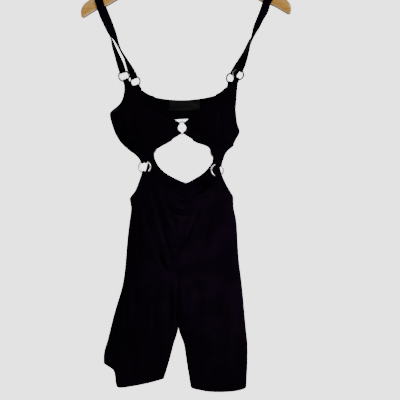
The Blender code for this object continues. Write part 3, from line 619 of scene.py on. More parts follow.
def strap_rows(strand, shares, curl, start):
    """Rows of points across a strand, the first of them along start.

    The strand's width turns about its own run by the twist, and its face is crowned.
    """
    centres, twists = strand[:, :3], np.radians(strand[:, 3])
    run = np.gradient(centres, axis=0) * (1, 0, 1)
    run /= np.linalg.norm(run, axis=1)[:, None]
    level = np.stack([-run[:, 2], np.zeros(len(run)), run[:, 0]], -1)
    level *= np.sign(level[:, :1])
    done = travel(centres[:, None], 0)[:, 0]
    level = mix(start, level, np.clip(done / STRAP_SETTLES, 0, 1)[:, None])
    level /= np.linalg.norm(level, axis=1)[:, None]
    free = np.sin(math.pi * done / done[-1])[:, None]
    twists = twists[:, None] + STRAP_WAVER * np.sin(done / 11.0)[:, None] * free
    width = level * np.cos(twists) + np.array((0, 1, 0)) * np.sin(twists)
    bow = (2 * shares) ** 2
    crown = STRAP_CROWN * (1 - bow) + curl * (0.5 - bow) * np.sin(twists) ** CURL_POWER
    ripple = STRAP_RIPPLE * np.sin(done / 7.0)[:, None] * np.sin(shares * 9)
    rows = centres[:, None] + width[:, None] * (STRAP_WIDTH * shares)[:, None]
    return rows + np.cross(width, run)[:, None] * (free * (crown + ripple))[..., None]


def model_strap(side):
    along = STRAP_TOPS[side]
    shares = np.linspace(-0.5, 0.5, STRAP_COLUMNS)
    profile = over_the_arm()
    top = max(above for above, _ in profile)
    leans = [STRAP_LEANS[side][depth > 0] * (above - top) for above, depth in profile]
    over = np.array([on_hanger(along + lean, *point) for lean, point in zip(leans, profile)])
    arm_width = unit(on_hanger(along + 0.5, 0, 0) - on_hanger(along - 0.5, 0, 0))
    over_rows = over[:, None] + (shares * STRAP_WIDTH)[None, :, None] * arm_width
    front_rows, back_rows = [
        strap_rows(smooth([(*foot, 0.0), *STRANDS[facing, side]], STRAND_STEPS), shares, curl, arm_width)
        for foot, facing, curl in zip((over[0], over[-1]), ("front", "back"), STRAP_CURLS[side])
    ]
    front_rows[0], back_rows[0] = over_rows[0], over_rows[-1]
    strip = np.vstack([front_rows[::-1], over_rows[1:-1], back_rows])
    strip = np.concatenate([strip, np.zeros((*strip.shape[:2], 1))], -1)
    grids = [
        turned_over(f"ring_strap_front_{side}", strip[0], STRAP_GRIP),
        strip,
        turned_over(f"ring_strap_back_{side}", strip[-1], STRAP_GRIP),
    ]
    strap = cloth(f"jersey_strap_{side}", grids, STRAP_WALL, jersey, (0, -1, 0))
    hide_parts(f"strap_{side}")


for side in ("left", "right"):
    model_strap(side)


# ==== Cups ====
# The bodice front is two cups of black jersey.  Each is cut in one with its tabs, which are turned over
# the strap's ring, the centre ring and the waist ring, so that the cloth gathers into each of them.

CUP_ACROSS = np.array((0, 0.05, 0.18, 0.34, 0.5, 0.66, 0.82, 0.94, 1.0))
ACROSS = np.array((0, 0.04, 0.12, 0.24, 0.38, 0.52, 0.66, 0.8, 0.9, 0.97, 1.0))
FIRST, LAST = ACROSS[1], 1 - ACROSS[-2]
CUP_DOWN, CUP_OVER = 8, 9  # steps in each gap of its table
TURNING, STITCHED = 7.0, 6.2  # depth of the cloth turned in along a free edge, and of its stitches
TURNED_PROUD, SEAM_DEPTH, SEAM_HALF = 0.35, 0.3, 1.6
CUP_WAVER = 0.5
EDGE_SOFT = 0.5  # over this distance a turning's step fades out
CUP_SEAM = (4.3, 11.7)  # between these sections its side is sewn to the back band
CUP_SEAM_STITCHED = (35, 95)  # rows of the finer grid where the stitches of its side stop and start again
CENTRE_ROWS = (6, 10)  # between these sections the cup ends at the centre ring

# A section with a pleat at its side, at the places of ACROSS: a flap that lies back, a valley, a crease.
# Share of the width, share of the depth, share of the flap's reach past the seam and of its hem's rise
FLAP = np.array((
    (0, 0, 1, 1),
    (0, 0.1, 1, 1),
    (0, 0.2, 0.55, 0.86),
    (0, 0.4, 0.08, 0.74),
    (0.01, 0.9, 0, 0),
    (0.16, 1, 0, 0),
    (0.38, 1, 0, 0),
    (0.65, 0.9, 0, 0),
    (0.86, 0.6, 0, 0),
    (1, 0.15, 0, 0),
    (1, 0, 0, 0),
))

# Columns of a panel's table.  side and inner are the two long edges; puff lifts the middle of a section
# off the straight line between them; fold, tube and pleat say how the section leaves its seams; flap and
# rise size the pleat.  What a row leaves off at its end is nought.
PANEL_COLUMNS = "side_x side_y side_z inner_x inner_y inner_z puff fold tube pleat flap rise sag".split()

#        side x      y      z   inner x     y       z   puff fold
CUPS = {
    "left": (
        (-131.3, -13, -355, -114.5, -13, -354),
        (-130.8, -13, -366, -106.5, -14, -366, 1),
        (-132.5, -12, -379, -104, -15, -379, 3),
        (-138.2, -9.5, -391.5, -90, -16, -393, 6),
        (-148, -5, -401.5, -66, -17, -411.5, 10, 0.4),
        (-162.7, -0.15, -412, -44, -18, -422.5, 13, 1),
        (-162.3, -0.15, -420, -23.5, -19.5, -427.5, 14, 1),
        (-160.5, -0.15, -428.5, -26, -20, -437, 15, 1),
        (-158, -0.15, -437, -27.5, -20, -447, 15, 1),
        (-155.2, -0.15, -445.5, -26.5, -20, -458, 15, 1),
        (-152, -0.15, -454.5, -26.5, -19.5, -471, 14, 1),
        (-145.5, -0.15, -467, -38.5, -18, -478.5, 12, 1),
        (-136, -4, -479, -55, -16, -487, 9, 0.4),
        (-122.4, -8, -492, -65, -14, -494, 5),
        (-107.5, -11, -503, -71, -12.5, -502.5, 2),
        (-99.5, -12, -511.5, -79.5, -12, -509.5),
    ),
    "right": (
        (110.3, -13, -352, 96.5, -13, -351),
        (108.8, -13, -365, 87, -14, -363, 1),
        (107.8, -12, -378, 72, -15, -375.5, 3),
        (107, -9.5, -388, 57, -16, -386, 6),
        (106, -5, -399, 38, -17, -399, 10, 0.4),
        (104.6, -0.15, -412, 25, -18, -413, 12, 1),
        (103.7, -0.15, -421, 6.5, -19.5, -426, 13, 1),
        (102.9, -0.15, -429.5, 10, -20, -435, 14, 1),
        (102.1, -0.15, -438, 11.7, -20, -446, 14, 1),
        (101.4, -0.15, -446.5, 12.2, -20, -457.5, 14, 1),
        (100.8, -0.15, -455, 12, -19.5, -471, 13, 1),
        (99.5, -0.15, -468, 21, -18, -477, 11, 1),
        (103, -4, -482, 36, -16, -481.5, 8, 0.4),
        (92, -8, -490.5, 49, -14, -487, 5),
        (83, -11, -502, 54, -12.5, -501, 2),
        (78.5, -12, -516, 63, -12, -514.5),
    ),
}

# A crease is a soft ridge or, below zero, a trough: half its width, its height, and x and z along it
CUP_CREASES = (
    (5, -3.4, -113, -398, -116, -424, -112, -452, -104, -486),
    (4, 1.8, -124, -408, -125, -436, -118, -468),
    (4.5, 1.6, -103, -404, -101, -440, -97, -478),
    (6, -2, -140, -418, -136, -444, -126, -474),
    (4, -2.6, -30, -449, -52, -456, -78, -470),
    (3.5, 1.8, -30, -440, -54, -444, -88, -450),
    (3.5, -2, -28, -433, -50, -430, -72, -428),
    (3, 1.4, -30, -459, -46, -468, -60, -478),
    (3.5, -2.2, 12, -450, 34, -458, 58, -472),
    (3.5, 1.8, 12, -442, 36, -444, 66, -446),
    (3, -1.8, 12, -434, 30, -429, 54, -420),
    (3.5, 2.2, 80, -404, 81, -432, 76, -470),
    (3.5, 2, 64, -402, 66, -430, 62, -466),
    (4.5, -2.4, 72, -400, 73, -432, 69, -474),
    (5, -2, 92, -398, 90, -440, 84, -486),
    (4, 1.6, 47, -408, 50, -432, 44, -462),
    (4, -1.4, -90, -412, -84, -436, -86, -462),
)
CREASE_FADE, CREASE_UNEVEN, CREASE_NARROWS = 0.7, 0.22, 0.65
GATHER_STARTS, GATHER_GROWS = 1.5, 8.0  # how far off the ring pleats start, and are full after that
CUP_GATHERS = {  # ring: pleats round a whole turn, their height, how far they reach, and their start
    "left": (
        ("ring_centre", 19, 2, 26, 0.4),
        ("ring_strap_front_left", 24, 0.9, 16, 1),
        ("ring_waist_front_left", 22, 1.1, 20, 2.2),
    ),
    "right": (
        ("ring_centre", 20, 1.9, 24, 1.9),
        ("ring_strap_front_right", 23, 0.9, 16, 0.2),
        ("ring_waist_front_right", 23, 1.1, 20, 0.7),
    ),
}


def padded(table, columns):
    """The table at its full width, with noughts for what its rows leave off at the end."""
    return np.array([(*row, *[0] * (len(columns) - len(row))) for row in table], float)


def panel(table, across=ACROSS):
    """Points of a panel lying flat between its edges, with its puff and how far it takes up a fold.

    Each is x, y, z, puff outwards, and weight.
    """
    col = dict(zip(PANEL_COLUMNS, padded(table, PANEL_COLUMNS).T[:, :, None]))
    leaves_side = np.clip((across - FIRST) / (1 - FIRST), 0, 1)
    meets_centre = np.clip(across / (1 - LAST), 0, 1)
    both_ends = np.clip((across - FIRST) / (1 - FIRST - LAST), 0, 1)
    share = mix(across, 1 - np.cos(leaves_side * math.pi / 2), col["fold"])
    share = mix(share, (1 - np.cos(both_ends * math.pi)) / 2, col["tube"])
    share = mix(share, FLAP[:, 0] if len(across) == len(FLAP) else share, col["pleat"])
    lean = mix(across, np.sin(meets_centre * math.pi / 2), col["fold"])
    lean = mix(lean, share, col["tube"])
    arch = np.sin(across * math.pi)
    weight = mix(np.sin(meets_centre * math.pi / 2), arch**0.5, col["tube"])
    weight = mix(arch, weight, col["fold"])
    out, rise = 0.0, 0.0
    if len(across) == len(FLAP):
        arch = mix(arch, FLAP[:, 1], col["pleat"])
        out, rise = FLAP[:, 2] * col["flap"], FLAP[:, 3] * col["rise"]
    x = mix(col["side_x"], col["inner_x"], share) - out
    z = mix(col["side_z"], col["inner_z"], share) + rise - col["sag"] * np.sin(across * math.pi)
    y = mix(col["side_y"], col["inner_y"], lean)
    return np.stack(np.broadcast_arrays(x, y, z, col["puff"] * arch, weight), axis=-1)


def finer(grid, down, across):
    """The same surface with each gap cut in steps both ways, and its bends eased."""
    for steps in (down, across):
        rows, columns, channels = grid.shape
        grid = smooth(grid.reshape(rows, -1), steps).reshape(-1, columns, channels)
        for _ in range(steps * 2):
            grid[1:-1] = (grid[:-2] + 2 * grid[1:-1] + grid[2:]) / 4
        grid = grid.swapaxes(0, 1)
    return grid


def crease_height(points, creases):
    """How far the cloth is pushed out at each point by all the creases together."""
    flat = points[..., (0, 2)].reshape(-1, 1, 2)
    total = np.zeros(len(flat))
    for half_width, height, *ends in creases:
        line = smooth(np.reshape(ends, (-1, 2)), 6)
        run = np.diff(line, axis=0)
        length = np.linalg.norm(run, axis=1)
        done = np.cumsum(length) - length
        offset = flat - line[:-1]
        share = np.clip((offset * run).sum(-1) / length**2, 0, 1)
        away = np.linalg.norm(offset - share[..., None] * run, axis=-1)
        nearest = away.argmin(1)
        pick = np.arange(len(flat))
        along = (done[nearest] + share[pick, nearest] * length[nearest]) / length.sum()
        fade = np.clip(np.sin(math.pi * along), 0, 1) ** CREASE_FADE
        uneven = 1 + CREASE_UNEVEN * np.sin(along * 9 + line[0, 0])
        width = half_width * mix(CREASE_NARROWS, 1, fade)
        total += height * fade * uneven * np.exp(-((away[pick, nearest] / width) ** 2))
    return total.reshape(points.shape[:-1])


def gather_height(points, gathers):
    """Pleats that run out from rings and die away with distance, each to its own length."""
    total = np.zeros(points.shape[:-1])
    for ring, count, height, reach, start in gathers:
        x, _, z, (radius, _), *_ = RINGS[ring]
        aside, up = points[..., 0] - x, points[..., 2] - z
        distance = np.hypot(aside, up) - radius
        angle = np.arctan2(up, aside)
        begun = np.clip((distance - GATHER_STARTS) / GATHER_GROWS, 0, 1)
        reach = reach * (1 + 0.4 * np.sin(5 * angle + start))
        pleats = np.sin(count * angle + start + 0.8 * np.sin(4 * angle + start))
        total += height * begun**2 * (3 - 2 * begun) * np.exp(-np.clip(distance, 0, None) / reach) * pleats
    return total


def unevenness(points, size):
    """The faint waver of cloth that hangs free, mostly from side to side."""
    x, z = points[..., 0], points[..., 2]
    waver = np.sin(x / 9.1 + 1.3 * np.sin(z / 47)) + 0.8 * np.sin(x / 15.7 - z / 38 + 2.1)
    waver += 0.7 * np.sin(x / 23 + z / 61 + 0.7) + 0.4 * np.sin(z / 13 + 1.7 * np.sin(x / 29))
    return size * waver / 2.9


def turning(distance, depth=TURNING):
    """Cloth turned in along an edge stands proud as far as the turning goes."""
    return TURNED_PROUD / (1 + np.exp(np.clip((distance - depth) / EDGE_SOFT, -30, 30)))


def seam(distance):
    return -SEAM_DEPTH * np.exp(-((distance / SEAM_HALF) ** 2))


def within(number, first, last, over=1):
    """One between two numbers and nought outside them, changing over this much just inside each."""
    return np.clip((number - first) / over, 0, 1) * np.clip((last - number) / over, 0, 1)


def from_edges(grid):
    """Distance over the cloth from a grid's top, bottom, first column and last column."""
    down, over = travel(grid, 0), travel(grid, 1)
    return down, down[-1:] - down, over, over[:, -1:] - over


def rest_on_face(grid, face, proud, creases, gathers, waver):
    """A panel's points pushed out by its puff, creases, gathers and waver, with how far each stands proud."""
    x, y, z, puff, weight = np.moveaxis(grid, -1, 0)
    flat = np.stack([x, y, z], -1)
    folds = weight * (crease_height(flat, creases) + unevenness(flat, waver))
    y = y + face * (puff + folds + gather_height(flat, gathers))
    return np.stack([x, y, z, proud], -1)


def tab_over(ring, base, grip, face, gathers):
    """The tab beyond a base row, with the base row's own gathers carried on to the ring."""
    flat = base.copy()
    flat[:, 1] -= face * gather_height(base, gathers)
    rows = turned_over(ring, flat, grip)
    rows[..., 1] += face * gather_height(rows, gathers)
    rows[-1] = base
    return rows


threads = []  # each is a run of stitches: points, the way out of the cloth, and the piece that carries it


def run_beside(grid, distance, face, *parts):
    """Adds runs of stitches this far in from edges, each between two rows or columns."""
    for edge, first, last in parts:
        axis, way = {"side": (1, 1), "inner": (1, -1), "top": (0, 1), "bottom": (0, -1)}[edge]
        lines = (grid if axis == 1 else grid.swapaxes(0, 1))[first:last, ::way]
        done = travel(lines, 1)
        places = [
            [np.interp(distance, along, line[:, k]) for k in range(3)] for along, line in zip(done, lines)
        ]
        threads.append((np.array(places), np.array((0, face, 0), float)))


def model_cup(side):
    grid = finer(panel(CUPS[side], across=CUP_ACROSS), CUP_DOWN, CUP_OVER)
    _, _, from_side, from_inner = from_edges(grid)
    row = np.arange(len(grid))[:, None] / CUP_DOWN
    proud = turning(from_inner) * (1 - within(row, *CENTRE_ROWS, over=0.5))
    proud = proud + mix(turning(from_side), seam(from_side), within(row, *CUP_SEAM))
    grid = rest_on_face(grid, -1, proud, CUP_CREASES, CUP_GATHERS[side], CUP_WAVER)
    first, last = (number * CUP_DOWN for number in CENTRE_ROWS)
    tabs = (
        (f"ring_strap_front_{side}", grid[0], TAB_GRIP),
        (f"ring_waist_front_{side}", grid[-1], TAB_GRIP),
        ("ring_centre", grid[first : last + 1, -1], CENTRE_GRIP),
    )
    grids = [grid, *(tab_over(*tab, -1, CUP_GATHERS[side]) for tab in tabs)]
    cup = cloth(f"jersey_cup_{side}", grids, WALL, jersey, (0, -1, 0))
    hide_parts(f"cup_{side}")
    stop, start = CUP_SEAM_STITCHED
    run_beside(
        grid, STITCHED, -1,
        ("inner", 3, first - 2), ("inner", last + 3, -2), ("side", 3, stop), ("side", start, -2),
    )


for side in ("left", "right"):
    model_cup(side)


# ==== Back band ====
# One piece of black jersey across the back, with a wing round each side to meet its cup at a seam.  Each
# wing has a tab over the strap's ring above and one over the waist ring below.

BAND_DOWN, BAND_OVER = 9, 8
BAND_WAVER = 0.4
BAND_EASE = 12.0  # a wing's folds die away over this much before its inner edge
BAND_SEAM = (3.3, 7.7)  # between these sections a wing's side is sewn to its cup
# How far the cloth bellies out past each section's side, behind the right side seam
RIGHT_BELLY = (0, 1, 2, 3, 5, 11, 20, 12, 11, 8, 1, 0)
WINGS = {
    "left": (
        (-111, 9.5, -363, -95.5, 9.5, -362),
        (-116, 9.5, -375, -87.5, 10, -367, 1),
        (-125, 8, -388, -77, 10.5, -373.3, 2),
        (-142, 5, -400.5, -66, 11, -376.2, 3, 0.4),
        (-162.7, 0.15, -412, -66, 11, -395.5, 3, 1),
        (-158, 0.15, -437, -66, 11, -411.5, 3, 1),
        (-152, 0.15, -453.5, -66, 11, -428, 3, 1),
        (-145.5, 0.15, -467, -67, 11, -443, 3, 1),
        (-126, 4, -469.5, -70, 11, -452, 2, 0.4),
        (-105, 8, -468, -72, 10.5, -460, 1),
        (-87, 10, -469, -71, 10, -468),
    ),
    "right": (
        (102.5, 9.5, -356, 88, 9.5, -355),
        (104.5, 9.5, -369, 81, 10, -360, 1),
        (106, 8, -383, 72.5, 10.5, -367.7, 2),
        (106.5, 5, -398, 62.5, 11, -372.3, 3, 0.4),
        (104.6, 0.15, -412, 63, 11, -392, 3, 1),
        (102, 0.15, -438, 63, 11, -409.5, 3, 1),
        (101, 0.15, -453, 63, 11, -425.5, 3, 1),
        (99.5, 0.15, -468, 63, 11, -440, 3, 1),
        (98.5, 2, -478.5, 63.5, 11, -448, 3, 0.6),
        (94.5, 5, -484.5, 63.5, 11, -457, 2, 0.3),
        (85, 8, -480.5, 62, 10.5, -467, 1),
        (74.5, 10, -479.5, 58.5, 10, -475.5),
    ),
}
BAND_ROWS = (3, 7)  # between these sections the two wings join across the back
BAND_COLUMNS, BAND_END = 73, 6  # the last of them at each end, where its turnings die away
NECK_DIP = 7.8  # how far the back neckline sinks below its ends
ARCH_RISE = 16.5  # how far the back's lower edge rises above its ends
BACK_BOW = 1.5  # how far the back's middle stands off its ends
BULGE_PEAK = 256 / 27  # scales share * (1 - share)^3 to a highest value of one
BAND_CREASES = (
    (6, 2.2, -118, -410, -98, -418, -72, -424),
    (5, -2.4, -128, -424, -104, -434, -78, -444),
    (5, 2, -100, -392, -88, -412, -80, -446),
    (5, -2, 84, -396, 78, -418, 72, -452),
    (5, 2, 92, -414, 76, -424, 58, -430),
    (7, 1.8, -58, -398, -24, -404, 12, -400),
    (6, -1.6, -40, -412, -6, -419, 34, -410),
    (6, 1.6, 6, -388, 34, -392, 60, -386),
    (4, -1.5, -74, -430, -72, -446, -74, -458),
    (4, -1.5, 66, -432, 64, -450, 64, -466),
)
BAND_GATHERS = (
    ("ring_strap_back_left", 23, 0.9, 16, 0.6),
    ("ring_strap_back_right", 24, 0.9, 16, 1.4),
    ("ring_waist_back_left", 22, 1, 18, 0.1),
    ("ring_waist_back_right", 21, 1, 18, 2.6),
)


def bulging(grid, reach):
    """The cloth behind a side seam, which bellies out past the seam before it turns back."""
    inside = np.clip(CUP_ACROSS - CUP_ACROSS[1], 0, 1)
    grid[..., 0] += np.array(reach)[:, None] * inside * (1 - inside) ** 3 * BULGE_PEAK
    return grid


def band_between(left, right):
    """The middle of the back band, from the left wing's inner edge to the right wing's."""
    across = np.linspace(0, 1, BAND_COLUMNS)[None, :, None]
    grid = mix(left[:, None], right[:, None], across)
    down = np.linspace(0, 1, len(left))[:, None]
    bow = 4 * across[..., 0] * (1 - across[..., 0])
    grid[..., 2] += mix(-NECK_DIP * bow, ARCH_RISE * bow**0.5, down)
    grid[..., 1] += BACK_BOW * bow
    grid[..., 4] = np.sin(math.pi * down) ** 0.5 * np.clip(bow * 3, 0, 1)
    return grid


def model_back_band():
    wings = {side: panel(table, across=CUP_ACROSS) for side, table in WINGS.items()}
    wings["right"] = bulging(wings["right"], RIGHT_BELLY)
    wings = {side: finer(wing, BAND_DOWN, BAND_OVER) for side, wing in wings.items()}
    for wing in wings.values():
        wing[..., 4] *= np.clip(from_edges(wing)[3] / BAND_EASE, 0, 1)
    join, part = (number * BAND_DOWN for number in BAND_ROWS)
    middle = band_between(*(wing[join : part + 1, -1] for wing in wings.values()))
    for side, wing in wings.items():
        _, _, from_side, from_inner = from_edges(wing)
        row = np.arange(len(wing))[:, None] / BAND_DOWN
        proud = np.where((row >= BAND_ROWS[0]) & (row <= BAND_ROWS[1]), 0, turning(from_inner))
        proud = proud + mix(turning(from_side), seam(from_side), within(row, *BAND_SEAM))
        wings[side] = wing = rest_on_face(wing, 1, proud, BAND_CREASES, BAND_GATHERS, BAND_WAVER)
        run_beside(wing, STITCHED, 1, ("inner", 3, join), ("inner", part, -2))
    down, up, _, _ = from_edges(middle)
    proud = (turning(down) + turning(up)) * within(np.arange(BAND_COLUMNS), 0, BAND_COLUMNS - 1, BAND_END)
    middle = rest_on_face(middle, 1, proud, BAND_CREASES, BAND_GATHERS, BAND_WAVER)
    run_beside(middle, STITCHED, 1, ("top", 0, BAND_COLUMNS), ("bottom", 0, BAND_COLUMNS))
    grids = [*wings.values(), middle]
    for side, wing in wings.items():
        for place, base in (("strap", wing[0]), ("waist", wing[-1])):
            grids.append(tab_over(f"ring_{place}_back_{side}", base, TAB_GRIP, 1, BAND_GATHERS))
    band = cloth("jersey_back_band", grids, WALL, jersey, (0, 1, 0))
    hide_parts("back_band")
    return middle


band_middle = model_back_band()


# ==== Neck label ====
# A bare satin label, woven black, its two ends tacked to the inside of the back band just under the neckline.

LABEL_WIDTH, LABEL_HEIGHT, LABEL_WALL = 66.0, 21.0, 0.5
LABEL_X, LABEL_DROP, LABEL_CLEAR = -3.2, 1.8, 0.45
WEFT = 0.0005  # from one crosswise rib to the next, in metres
LABEL_ROWS, LABEL_COLUMNS = 19, 45
LABEL_STITCHED = 1.5  # in from each of its ends
LABEL_LIFT = 0.35  # its free lower edge stands off the band


def black_satin():
    """Satin weave with fine crosswise ribs: darker and glossier than the jersey round it."""
    made, tree = finish_of("black_satin", Roughness=0.45, Specular_IOR_Level=0.06)
    weft = maths(tree, "MULTIPLY", axes(tree, first(tree, "UVMap", uv_map="knit"))["Y"], 2 * math.pi / WEFT)
    cloudy = noise(tree, on_body(tree), 90, 3)
    colour = ramp(tree, cloudy, (0.35, (0.0018, 0.0016, 0.0022)), (0.7, (0.0028, 0.0026, 0.0033)))
    into_shader(tree, Base_Color=colour, Normal=bumped(tree, maths(tree, "SINE", weft), 0.3, 0.0001))
    return made


def model_label():
    drops = LABEL_DROP + LABEL_HEIGHT * np.linspace(0, 1, LABEL_ROWS)
    columns = []
    for x in LABEL_X + LABEL_WIDTH * np.linspace(-0.5, 0.5, LABEL_COLUMNS):
        column = [[np.interp(x, line[:, 0], line[:, k]) for k in (1, 2)] for line in band_middle]
        depths, heights = np.transpose(column)
        z = heights[0] - drops
        columns.append(np.stack([np.full(len(z), x), np.interp(-z, -heights, depths), z, 0 * z], -1))
    grid = np.stack(columns, 1)
    free = np.linspace(0, 1, len(drops))[:, None] ** 2
    inside = (WALL + LABEL_WALL) / 2 + LABEL_CLEAR
    grid[..., 1] -= inside + LABEL_LIFT * free * np.cos((grid[..., 0] - LABEL_X) / LABEL_WIDTH * 3) ** 2
    label = cloth("satin_label", [grid], LABEL_WALL, black_satin(), (0, -1, 0))
    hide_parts("neck_label")
    run_beside(grid, LABEL_STITCHED, -1, ("side", 1, -1), ("inner", 1, -1))


model_label()


# ==== Shorts ====
# Four panels of black jersey, two in front and two behind, sewn at the sides, the centre seams and the
# inseams.  Each runs up to a tab over its waist ring, and the hems are turned up and stitched twice.

HEM_DEPTH = 19.0
HEM_STITCHES = (16.4, 18.4)  # the two rows, up from the hem's edge
FACES = {"front": -1, "back": 1}  # the way along y that a panel's face looks
CROTCH_ROW = 5.5  # sections below the yoke
SHORTS_WAVER = 0.6
SEWN_EASE, SEWN_POWER = 4, 5  # rows above a seam that it still draws, and how near the edge it draws
DOWN_STEPS, ACROSS_STEPS = 14, 7

#        side x      y      z   inner x     y       z   puff fold
YOKES = {
    ("front", "left"): (
        (-96, -12.5, -549.5, -74, -12.5, -548.5),
        (-101.5, -11.5, -565, -53, -14, -565.5, 1),
        (-110, -6, -583, -31, -16, -579.5, 2, 0.3),
        (-120, 0, -596, -10, -17.5, -592.5, 3, 1),
    ),
    ("front", "right"): (
        (77.5, -12.5, -556.5, 64.5, -12.5, -556),
        (86, -11.5, -567.5, 59, -14, -569, 1),
        (94.5, -6, -581, 42, -16, -581, 2, 0.3),
        (101, 0, -594, 18, -17.5, -592.5, 3, 1),
    ),
    ("back", "left"): (
        (-81.5, 10, -509, -67.5, 10, -509.5),
        (-84, 10, -524, -60.5, 10.5, -524.5),
        (-90, 8.5, -545, -44, 11, -541, 1),
        (-103.5, 5, -573, -23, 11.5, -552.5, 1, 0.3),
        (-120, 0, -596, -7, 12, -560, 2, 1),
    ),
    ("back", "right"): (
        (71, 10, -516.5, 57, 10, -517),
        (73, 10, -529.5, 48, 10.5, -529.5),
        (78, 8.5, -547, 35, 11, -542.5, 1),
        (89, 5, -571, 19, 11.5, -552.5, 1, 0.3),
        (101, 0, -594, 6, 12, -560, 2, 1),
    ),
}

# One row is one section of the shorts, from the left side seam by the centre, or by the two inseams
# below the crotch, to the right side seam.  front and back are how far the centre seams stand off, and
# below the crotch how far forward the inseams hang.
HIP_COLUMNS = (
    "left_x left_z centre_left_x centre_right_x centre_z right_x right_z front back "
    "puff tube pleat flap rise sag_left sag_right side_y"
).split()
TOPS = {
    "front": (-118.8, -605, -0.5, -0.5, -597, 101.2, -603, 18, 0, 3),
    "back": (-118.8, -605, 0, 0, -563, 101.2, -603, 0, 12, 3),
}
HIPS = (
    (-116.8, -618, -2.5, -2.5, -618, 102, -618, 18, 13, 3),
    (-120.5, -645, -5, -5, -645, 108, -645, 18, 14, 3),
    (-125.2, -685, -9, -9, -686, 110, -683, 17, 14, 3),
    (-128.4, -727, -13.5, -13.5, -730, 113, -730, 14, 13, 4),
    (-132.5, -764, -16.9, -16.9, -766, 118, -767, 8, 9, 8, 0.5),
    (-133.5, -790, -16.2, -16.9, -790, 120.7, -792, 9, 9, 14, 1, 0.2, 4),
    (-137.5, -835, -15.6, -16.4, -830, 124.5, -835, 10, 10, 15, 1, 0.7, 14, 0, 0, 0, 1),
    (-139.8, -873, -16.4, -15.4, -868, 128, -873, 9, 9, 15, 1, 1, 21.5, 0, 0, 0, 2),
    (-143, -912, -27, -3.5, -908, 131.8, -912, 4, 4, 15, 1, 1, 26, 8, 0, 0, 3),
    (-146, -951, -37.5, 2.4, -948, 131.4, -948, 0, 0, 16, 1, 1, 30, 24, 2, 3, 4),
    (-149.2, -992.5, -48, 10.8, -980, 128.4, -997, 0, 0, 17, 1, 1, 27, 44, 7, 9, 5),
)
HEM_CORNER_RIGHT = -996.0  # the right inseam ends lower than the left one
LEGS_PASS = 4.0  # the right inseam hangs this much before the left one

FRONT_CREASES = (
    # drawn from the left waist ring down to the crotch
    (6, 3.4, -84, -570, -72, -606, -60, -650, -48, -692),
    (5, -5, -74, -578, -63, -616, -50, -660, -38, -698, -27, -734),
    (5, 2.6, -60, -574, -46, -618, -30, -664, -16, -708),
    (5, -2.2, -50, -582, -34, -622, -18, -668),
    (6, -2.6, -92, -592, -80, -648, -60, -706),
    # drawn from the right waist ring
    (6, 4.2, 58, -574, 38, -607, 25, -644, 8, -683, -11, -712, -17, -746),
    (5, -3.4, 50, -590, 28, -622, 14, -654, -2, -692),
    (5, 2.2, 30, -604, 12, -640, -4, -676),
    (6, -2.8, 72, -590, 54, -634, 38, -684, 14, -730),
    (6, 1.6, 84, -600, 70, -654, 44, -716, 16, -746),
    (7, -2, 92, -606, 84, -668, 60, -728),
    # slack under the centre front
    (3, -3.2, -20, -601, -2, -606, 16, -600),
    (3, 3.4, -26, -612, -3, -619, 20, -611),
    (3.2, -4, -38, -616, -20, -629, -2, -632, 14, -631, 34, -614),
    (4, 2.2, -32, -628, -2, -644, 28, -626),
    (2.6, 3, 10, -600, 26, -590, 46, -582),
    (3, -3, 16, -606, 34, -597, 56, -588),
    # the pocket of slack above the crotch, and folds that leave the crotch
    (4.5, -6, -58, -706, -52, -725, -41, -752),
    (4.5, 3.2, -49, -702, -43, -722, -31, -750),
    (7, 3.4, -50, -764, -20, -776, 10, -764),
    (5, 2.6, -34, -752, -58, -770, -84, -778),
    (5, -2.6, -40, -772, -60, -788, -80, -800),
    (5, 2.6, 2, -754, 30, -768, 58, -774),
    (5, -2.4, 4, -778, 26, -788, 48, -796),
    # long falls down the left leg, and the crease that its pleat is folded on
    (3, 3.5, -129, -752, -130.5, -790, -134.5, -835, -136.8, -873, -141, -930),
    (5, 3.4, -118, -762, -119, -822, -118, -900),
    (5, -4, -108, -760, -107, -824, -110, -896),
    (4.5, 3, -76, -782, -75, -826, -78, -876),
    (4.5, -3.4, -66, -790, -67, -840, -72, -900),
    (6.5, -11, -35, -762, -34, -822, -39, -888),
    (3.5, 4, -22, -762, -21, -808, -24, -856),
    (5, 2.4, -50, -800, -50, -850, -56, -910),
    (8, -4, -60, -900, -56, -926, -58, -956),
    (5, 2.6, -94, -876, -98, -920, -100, -968),
    (6, -3, -112, -910, -114, -944, -112, -978),
    # the left hip
    (4.5, -3, -106, -622, -100, -668, -104, -730),
    (4.5, 2.6, -96, -612, -90, -660, -94, -716),
    # long falls down the right leg, and the inner corner of its hem, which turns in
    (4, 2.4, -8, -772, -7, -820, -4, -866),
    (7, 2.8, 40, -780, 42, -850, 36, -930),
    (6, -2.8, 62, -770, 66, -850, 66, -940),
    (7, 2.8, 84, -748, 92, -850, 96, -970),
    (6, -2.4, 104, -740, 110, -830, 114, -930),
    (11, -5, 0, -925, 16, -962, 38, -1036),
    (5, 3, 60, -930, 40, -950, 48, -996),
)
